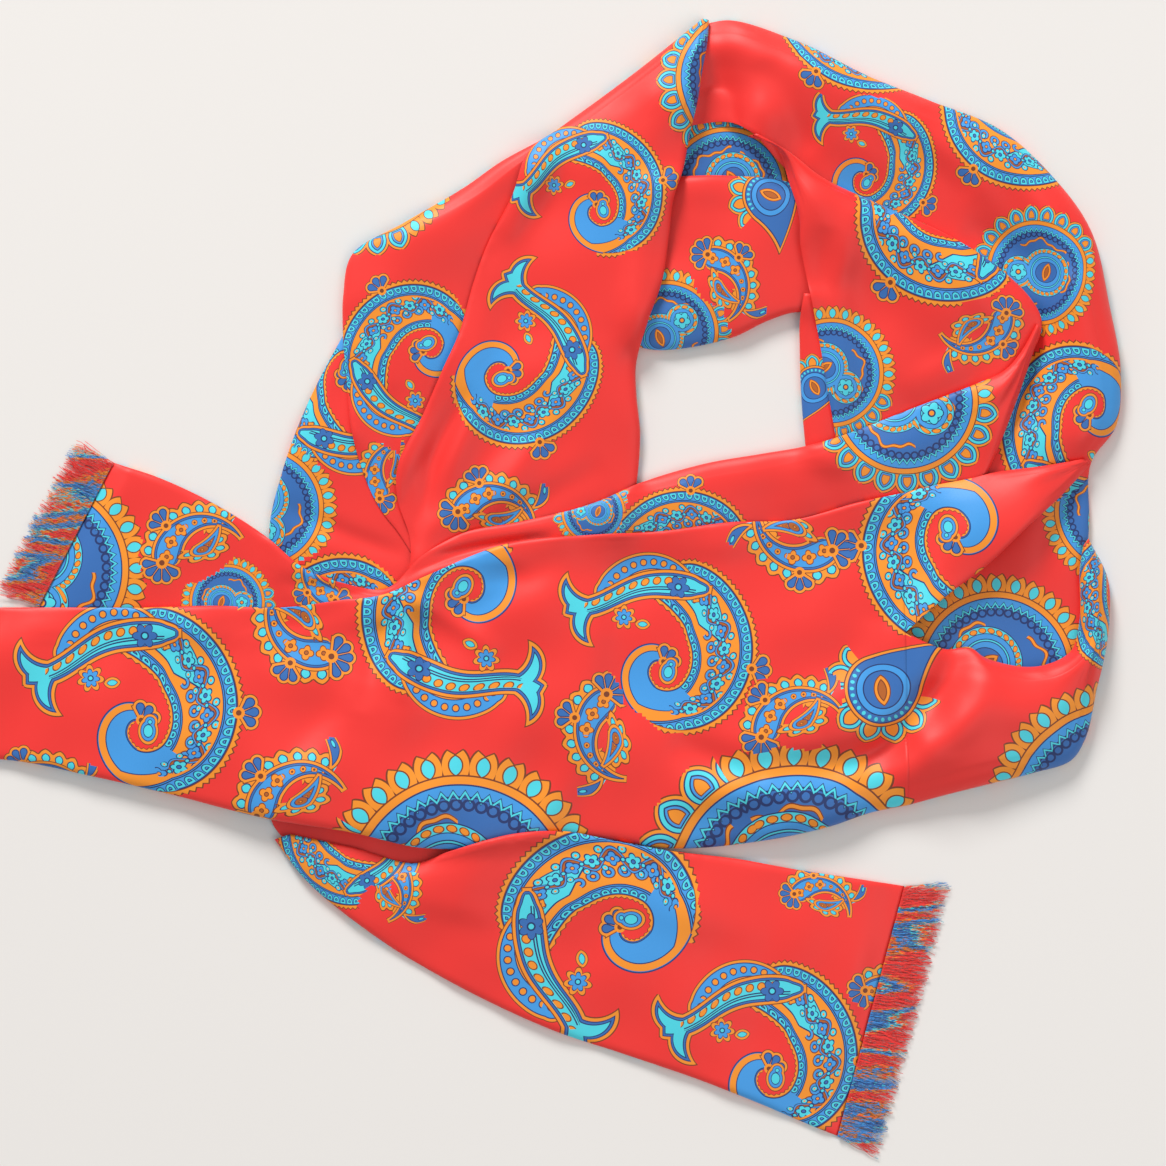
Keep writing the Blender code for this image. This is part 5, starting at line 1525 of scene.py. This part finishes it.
def fringe_nodes(material):
    """A node group that stands threads along the edges of a mesh, each on its own length, lean and wave."""
    tree = bpy.data.node_groups.new("fringe_threads", "GeometryNodeTree")
    tree.interface.new_socket(name="Geometry", in_out="INPUT", socket_type="NodeSocketGeometry")
    named_input(tree, "Spacing", THREAD_SPACING)
    named_input(tree, "Length", THREAD_LENGTH)
    named_input(tree, "Thread radius", THREAD_RADIUS)
    named_input(tree, "Raggedness", THREAD_RAGGEDNESS)
    named_input(tree, "Lean", THREAD_LEAN)
    named_input(tree, "Wave", THREAD_WAVE)
    named_input(tree, "Seed", FRINGE_SEED)
    tree.interface.new_socket(name="Geometry", in_out="OUTPUT", socket_type="NodeSocketGeometry")

    def add(kind, settings=(), inputs=()):
        """A new node of this kind: its settings first, and then the values or links of its inputs."""
        made = tree.nodes.new(kind)
        for name, value in settings:
            setattr(made, name, value)
        for key, value in inputs:
            if isinstance(value, bpy.types.NodeSocket):
                tree.links.new(value, made.inputs[key])
            else:
                made.inputs[key].default_value = value
        return made

    def maths(operation, *values):
        """What one Math node makes of the values."""
        return add("ShaderNodeMath", [("operation", operation)], enumerate(values)).outputs[0]

    given = add("NodeGroupInput").outputs
    spread = add(
        "GeometryNodeInputNamedAttribute", [("data_type", "FLOAT_VECTOR")], [("Name", "way")]
    ).outputs[0]
    curve = add("GeometryNodeMeshToCurve", (), [(0, given["Geometry"])]).outputs[0]
    points = add(
        "GeometryNodeCurveToPoints", [("mode", "LENGTH")], [("Curve", curve), ("Length", given["Spacing"])]
    ).outputs[0]
    line = add("GeometryNodeCurvePrimitiveLine", (), [("End", (1.0, 0.0, 0.0))]).outputs[0]
    fine = add("GeometryNodeResampleCurve", (), [("Curve", line), ("Count", THREAD_STEPS)]).outputs[0]
    share = add("GeometryNodeSplineParameter").outputs["Factor"]
    held = add("GeometryNodeCaptureAttribute", (), [("Geometry", fine)])
    held.capture_items.new("FLOAT", "Share")
    tree.links.new(share, held.inputs[1])
    lean = add(
        "FunctionNodeRandomValue",
        [("data_type", "FLOAT")],
        [("Min", maths("MULTIPLY", given["Lean"], -1.0)), ("Max", given["Lean"]), ("Seed", given["Seed"])],
    ).outputs[1]
    size = add(
        "FunctionNodeRandomValue",
        [("data_type", "FLOAT")],
        [
            ("Min", maths("SUBTRACT", 1.0, given["Raggedness"])),
            ("Max", 1.0),
            ("Seed", maths("ADD", given["Seed"], 1.0)),
        ],
    ).outputs[1]
    turn = add("FunctionNodeAlignEulerToVector", [("axis", "X")], [("Vector", spread)]).outputs[0]
    leaned = add(
        "FunctionNodeRotateEuler",
        (),
        [("Rotation", turn), ("Rotate By", add("ShaderNodeCombineXYZ", (), [("Z", lean)]).outputs[0])],
    ).outputs[0]
    reach = maths("MULTIPLY", given["Length"], size)
    scale = add("ShaderNodeCombineXYZ", (), [("X", reach), ("Y", 1.0), ("Z", 1.0)]).outputs[0]
    threads = add(
        "GeometryNodeInstanceOnPoints",
        (),
        [("Points", points), ("Instance", held.outputs[0]), ("Rotation", leaned), ("Scale", scale)],
    ).outputs[0]
    real = add("GeometryNodeRealizeInstances", (), [("Geometry", threads)]).outputs[0]
    noise = add(
        "ShaderNodeTexNoise",
        [("noise_dimensions", "4D")],
        [("W", 0.7), ("Scale", THREAD_WAVE_SCALE), ("Detail", 1.0)],
    )
    centred = add(
        "ShaderNodeVectorMath",
        [("operation", "SUBTRACT")],
        [(0, noise.outputs["Color"]), (1, (0.5, 0.5, 0.5))],
    )
    amount = maths("MULTIPLY", held.outputs[1], given["Wave"])
    wave = add("ShaderNodeVectorMath", [("operation", "SCALE")], [(0, centred.outputs[0]), ("Scale", amount)])
    level = add(
        "ShaderNodeVectorMath", [("operation", "MULTIPLY")], [(0, wave.outputs[0]), (1, THREAD_WAVE_REACH)]
    ).outputs[0]
    waved = add("GeometryNodeSetPosition", (), [("Geometry", real), ("Offset", level)]).outputs[0]
    profile = add(
        "GeometryNodeCurvePrimitiveCircle",
        (),
        [("Resolution", THREAD_SIDES), ("Radius", given["Thread radius"])],
    ).outputs[0]
    solid = add(
        "GeometryNodeCurveToMesh", (), [("Curve", waved), ("Profile Curve", profile), ("Fill Caps", True)]
    ).outputs[0]
    whole = add("GeometryNodeRealizeInstances", (), [("Geometry", solid)]).outputs[0]
    dressed = add("GeometryNodeSetMaterial", (), [("Geometry", whole), ("Material", material)]).outputs[0]
    add("NodeGroupOutput", (), [(0, dressed)])
    return tree


def end_line(fringe, height, steps):
    """A line of edges along a fringed end, with the way its threads point held at each place."""
    share = np.linspace(0, 1, steps)[:, None]
    a, b = np.array([fringe.ax, fringe.ay]), np.array([fringe.bx, fringe.by])
    out_a, out_b = np.array([fringe.out_ax, fringe.out_ay]), np.array([fringe.out_bx, fringe.out_by])
    places = a + (b - a) * share
    ways = out_a + (out_b - out_a) * share
    mesh = bpy.data.meshes.new(fringe.node + "_line")
    points = [(MM * x, MM * y, height) for x, y in places]
    mesh.from_pydata(points, [(i, i + 1) for i in range(steps - 1)], [])
    held = mesh.attributes.new("way", "FLOAT_VECTOR", "POINT")
    directions = np.concatenate([ways, np.full_like(share, FRINGE_DIP)], axis=1)
    held.data.foreach_set("vector", directions.astype(np.float32).reshape(-1))
    return mesh


def fringe_material():
    """Threads in the print's colours, in patches along the end and one by one."""
    nodes = Nodes("thread_ends")
    found = nodes.add("ShaderNodeTexCoord", {}, ())
    parts = nodes.add("ShaderNodeSeparateXYZ", {}, ((0, found.outputs["Object"]),))
    x, y = (Number(nodes, parts.outputs[k]) for k in (0, 1))
    row = nodes.add("ShaderNodeCombineXYZ", {}, ((0, x * ALONG_THREAD_SHARE), (1, y)))
    kinds = []
    for scale, shift in ((PATCH_SCALE, 0.0), (SINGLE_THREAD_SCALE, 3.0)):
        inputs = {"Vector": row.outputs[0], "Scale": scale, "Detail": 1.0, "W": shift}
        made = nodes.add("ShaderNodeTexNoise", {"noise_dimensions": "4D"}, inputs.items())
        kinds.append(Number(nodes, made.outputs[0]))
    patch, thread = kinds
    value = patch * 1.7 + thread * 0.3 - 0.5
    colour = PALETTE["ground"]
    for edge, name in THREAD_DYES:
        colour = nodes.mixed(colour, PALETTE[name], value > edge)
    nodes.join(colour, nodes.shader.inputs["Base Color"])
    nodes.shader.inputs["Roughness"].default_value = THREAD_ROUGHNESS
    nodes.shader.inputs["Sheen Weight"].default_value = SILK_SHEEN
    return nodes.material


def grown_threads(context, fringe, tree, settings):
    """The fringe's layers of threads as one mesh, kept clear of the surface."""
    values = {
        "Spacing": settings.spacing,
        "Length": settings.length,
        "Thread radius": settings.thickness,
        "Wave": settings.wave,
    }
    holders = []
    for layer, lift in enumerate(FRINGE_LAYERS):
        holder = bpy.data.objects.new(fringe.node + "_threads", end_line(fringe, lift, FRINGE_LINE_STEPS))
        context.scene.collection.objects.link(holder)
        modifier = holder.modifiers.new("threads", "NODES")
        modifier.node_group = tree
        values["Seed"] = FRINGE_SEED + layer
        for item in tree.interface.items_tree:
            if item.name in values and item.in_out == "INPUT":
                modifier[item.identifier] = values[item.name]
        holders.append(holder)
    graph = context.evaluated_depsgraph_get()
    layers = [bpy.data.meshes.new_from_object(holder.evaluated_get(graph)) for holder in holders]
    joined = bmesh.new()
    for holder, layer in zip(holders, layers):
        joined.from_mesh(layer)
        line = holder.data
        bpy.data.objects.remove(holder)
        bpy.data.meshes.remove(line)
        bpy.data.meshes.remove(layer)
    for vertex in joined.verts:
        vertex.co.z = max(vertex.co.z, THREAD_CLEARANCE * settings.thickness)
    mesh = bpy.data.meshes.new("threads_" + fringe.node)
    joined.to_mesh(mesh)
    joined.free()
    mesh.shade_smooth()
    return mesh


def pale_surface_material(colour):
    """The plain, dull finish of the surface."""
    material = bpy.data.materials.get("pale_surface") or bpy.data.materials.new("pale_surface")
    material.use_nodes = True
    shader = material.node_tree.nodes["Principled BSDF"]
    shader.inputs["Base Color"].default_value = (*colour, 1)
    shader.inputs["Roughness"].default_value = SURFACE_ROUGHNESS
    return material


def lay_surface(scene, colour):
    """The surface that the scarf lies on."""
    mesh = bpy.data.meshes.new("surface")
    ends = ((-1, -1), (1, -1), (1, 1), (-1, 1))
    points = [(SURFACE_HALF * x, SURFACE_HALF * y, -SURFACE_DROP) for x, y in ends]
    mesh.from_pydata(points, [], [(0, 1, 2, 3)])
    mesh.materials.append(pale_surface_material(colour))
    surface = bpy.data.objects.new("surface", mesh)
    scene.collection.objects.link(surface)
    surface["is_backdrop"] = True


def hang_lamp(scene, lamp, power):
    """A round lamp at its place, turned to what it is aimed at."""
    light = bpy.data.lights.new(lamp.name, "AREA")
    light.energy = lamp.share * power
    light.shape = "DISK"
    light.size = lamp.size
    light.color = lamp.colour
    holder = bpy.data.objects.new(lamp.name, light)
    holder.location = lamp.place
    aim = Vector(lamp.aim) - Vector(lamp.place)
    holder.rotation_euler = aim.to_track_quat("-Z", "Y").to_euler()
    scene.collection.objects.link(holder)


def light_room(scene):
    """The even light from all round."""
    world = bpy.data.worlds.new("studio")
    world.use_nodes = True
    background = world.node_tree.nodes["Background"]
    background.inputs["Color"].default_value = WORLD_COLOUR
    background.inputs["Strength"].default_value = WORLD_STRENGTH
    scene.world = world


def set_camera(scene, height, width):
    """The camera straight above, at a height, with a width of the cloth in view."""
    optics = bpy.data.cameras.new("camera")
    optics.sensor_width = SENSOR_WIDTH
    optics.lens = optics.sensor_width * (height - CLOTH_MEAN_HEIGHT) / width
    camera = bpy.data.objects.new("camera", optics)
    camera.location = (*VIEW_CENTRE, height)
    scene.collection.objects.link(camera)
    scene.camera = camera


class ClothSettings(bpy.types.PropertyGroup):
    """How finely the cloth is made."""

    cell: bpy.props.FloatProperty(
        name="Cell", description="Size of the cloth's mesh cells", default=0.002, min=0.0015, max=0.01,
        unit="LENGTH",
    )


class FringeSettings(bpy.types.PropertyGroup):
    """The threads of the fringed ends."""

    length: bpy.props.FloatProperty(
        name="Length", description="Length of the longest threads", default=THREAD_LENGTH, min=0.005,
        max=0.03, unit="LENGTH",
    )
    spacing: bpy.props.FloatProperty(
        name="Spacing", description="Distance between threads", default=THREAD_SPACING, min=0.0002, max=0.004,
        unit="LENGTH",
    )
    thickness: bpy.props.FloatProperty(
        name="Thickness", description="Radius of a thread", default=THREAD_RADIUS, min=0.0001, max=0.001,
        unit="LENGTH",
    )
    wave: bpy.props.FloatProperty(
        name="Wave", description="How far a thread's free end strays", default=THREAD_WAVE, min=0, max=0.01,
        unit="LENGTH",
    )


class StageSettings(bpy.types.PropertyGroup):
    """The surface, the light and the camera."""

    surface_colour: bpy.props.FloatVectorProperty(
        name="Surface", description="Colour of the surface that the scarf lies on", subtype="COLOR", size=3,
        min=0, max=1, default=(0.82, 0.797, 0.775),
    )
    camera_height: bpy.props.FloatProperty(
        name="Camera height", description="Height of the camera above the surface", default=2.4, min=0.5,
        unit="LENGTH",
    )
    view_width: bpy.props.FloatProperty(
        name="View width", description="Width of the picture at the cloth", default=0.6413, min=0.1,
        unit="LENGTH",
    )
    key_strength: bpy.props.FloatProperty(
        name="Key light", description="Power of the large lamp", default=345.0, min=0, subtype="POWER",
    )


class SCARF_OT_cloth(bpy.types.Operator):
    """Lays the stretches of printed cloth one on another, lowest first"""

    bl_idname = "scarf.cloth"
    bl_label = "Lay the cloth"

    def execute(self, context):
        cell = context.scene.scarf_cloth.cell / MM
        materials = [printed_material("printed_silk", None)]
        materials += [printed_material("printed_silk_" + name, motif) for name, motif in KINDS.items()]
        tops, shells = {}, {}
        empty = height_grid(*np.zeros((3, 2, 2)))
        for stretch in STRETCHES:
            support = np.maximum.reduce([empty] + [tops[name] for name in stretch.lies_on])
            shell = settled(stretch, support, shells, cell)
            shells[stretch.name] = shell
            tops[stretch.name] = height_grid(shell.x, shell.y, shell.top)
            mesh, on_top = ring_mesh(PIECE_PREFIX + stretch.name, shell)
            outward(mesh)
            for material in materials:
                mesh.materials.append(material)
            print_on(mesh, stretch.name, on_top)
            piece = bpy.data.objects.new(PIECE_PREFIX + stretch.name, mesh)
            context.scene.collection.objects.link(piece)
            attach(piece, "root")
            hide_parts(stretch.name)
        return {"FINISHED"}


class SCARF_OT_fringe(bpy.types.Operator):
    """Draws the loose threads out of the cut ends"""

    bl_idname = "scarf.fringe"
    bl_label = "Fringe the ends"

    def execute(self, context):
        settings = context.scene.scarf_fringe
        thread = fringe_material()
        tree = fringe_nodes(thread)
        fringes = {}
        for fringe in FRINGES:
            mesh = grown_threads(context, fringe, tree, settings)
            mesh.materials.append(thread)
            piece = bpy.data.objects.new("threads_" + fringe.node, mesh)
            context.scene.collection.objects.link(piece)
            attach(piece, "root")
            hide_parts(fringe.node)
            fringes[fringe.carrier] = piece
        for stretch in STRETCHES:
            piece = bpy.data.objects[PIECE_PREFIX + stretch.name]
            tuple(MM * side for side in stretch.flat)
            [PIECE_PREFIX + name for name in stretch.lies_on] or ["surface"]
            [fringes[stretch.name]] if stretch.name in fringes else ()
        return {"FINISHED"}


class SCARF_OT_stage(bpy.types.Operator):
    """Sets the pale surface, the soft light and the camera straight above"""

    bl_idname = "scarf.stage"
    bl_label = "Set the stage"

    def execute(self, context):
        settings = context.scene.scarf_stage
        scene = context.scene
        lay_surface(scene, settings.surface_colour)
        for lamp in LAMPS:
            hang_lamp(scene, lamp, settings.key_strength)
        light_room(scene)
        set_camera(scene, settings.camera_height, settings.view_width)
        scene.view_settings.view_transform = "Standard"
        return {"FINISHED"}


class SCARF_PT_panel(bpy.types.Panel):
    """Sizes, colours and buttons of the scarf"""

    bl_idname = "SCARF_PT_panel"
    bl_label = "Printed silk scarf"
    bl_space_type = "VIEW_3D"
    bl_region_type = "UI"
    bl_category = "Scarf"

    def draw(self, context):
        for group, operator in GROUPS:
            box = self.layout.box()
            settings = getattr(context.scene, group)
            for name in settings.bl_rna.properties.keys():
                if name not in ("rna_type", "name"):
                    box.prop(settings, name)
            box.operator(operator)


GROUPS = [("scarf_cloth", "scarf.cloth"), ("scarf_fringe", "scarf.fringe"), ("scarf_stage", "scarf.stage")]
CLASSES = (
    ClothSettings,
    FringeSettings,
    StageSettings,
    SCARF_OT_cloth,
    SCARF_OT_fringe,
    SCARF_OT_stage,
    SCARF_PT_panel,
)


def register():
    """Adds the classes, and the settings to every scene."""
    for cls in CLASSES:
        bpy.utils.register_class(cls)
    bpy.types.Scene.scarf_cloth = bpy.props.PointerProperty(type=ClothSettings)
    bpy.types.Scene.scarf_fringe = bpy.props.PointerProperty(type=FringeSettings)
    bpy.types.Scene.scarf_stage = bpy.props.PointerProperty(type=StageSettings)


def unregister():
    """Takes the settings and the classes away again."""
    del bpy.types.Scene.scarf_stage
    del bpy.types.Scene.scarf_fringe
    del bpy.types.Scene.scarf_cloth
    for cls in reversed(CLASSES):
        bpy.utils.unregister_class(cls)


def corners(bounds):
    """The lowest and the highest corner as plain lists."""
    return [list(corner) for corner in bounds]


def main():
    """Registers the add-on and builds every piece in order."""
    register()
    solid = corners(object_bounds())
    bpy.ops.scarf.cloth()
    bpy.ops.scarf.fringe()
    bpy.ops.scarf.stage()
    {"solid": solid, "shown": corners(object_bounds())}


if __name__ == "__main__":
    main()
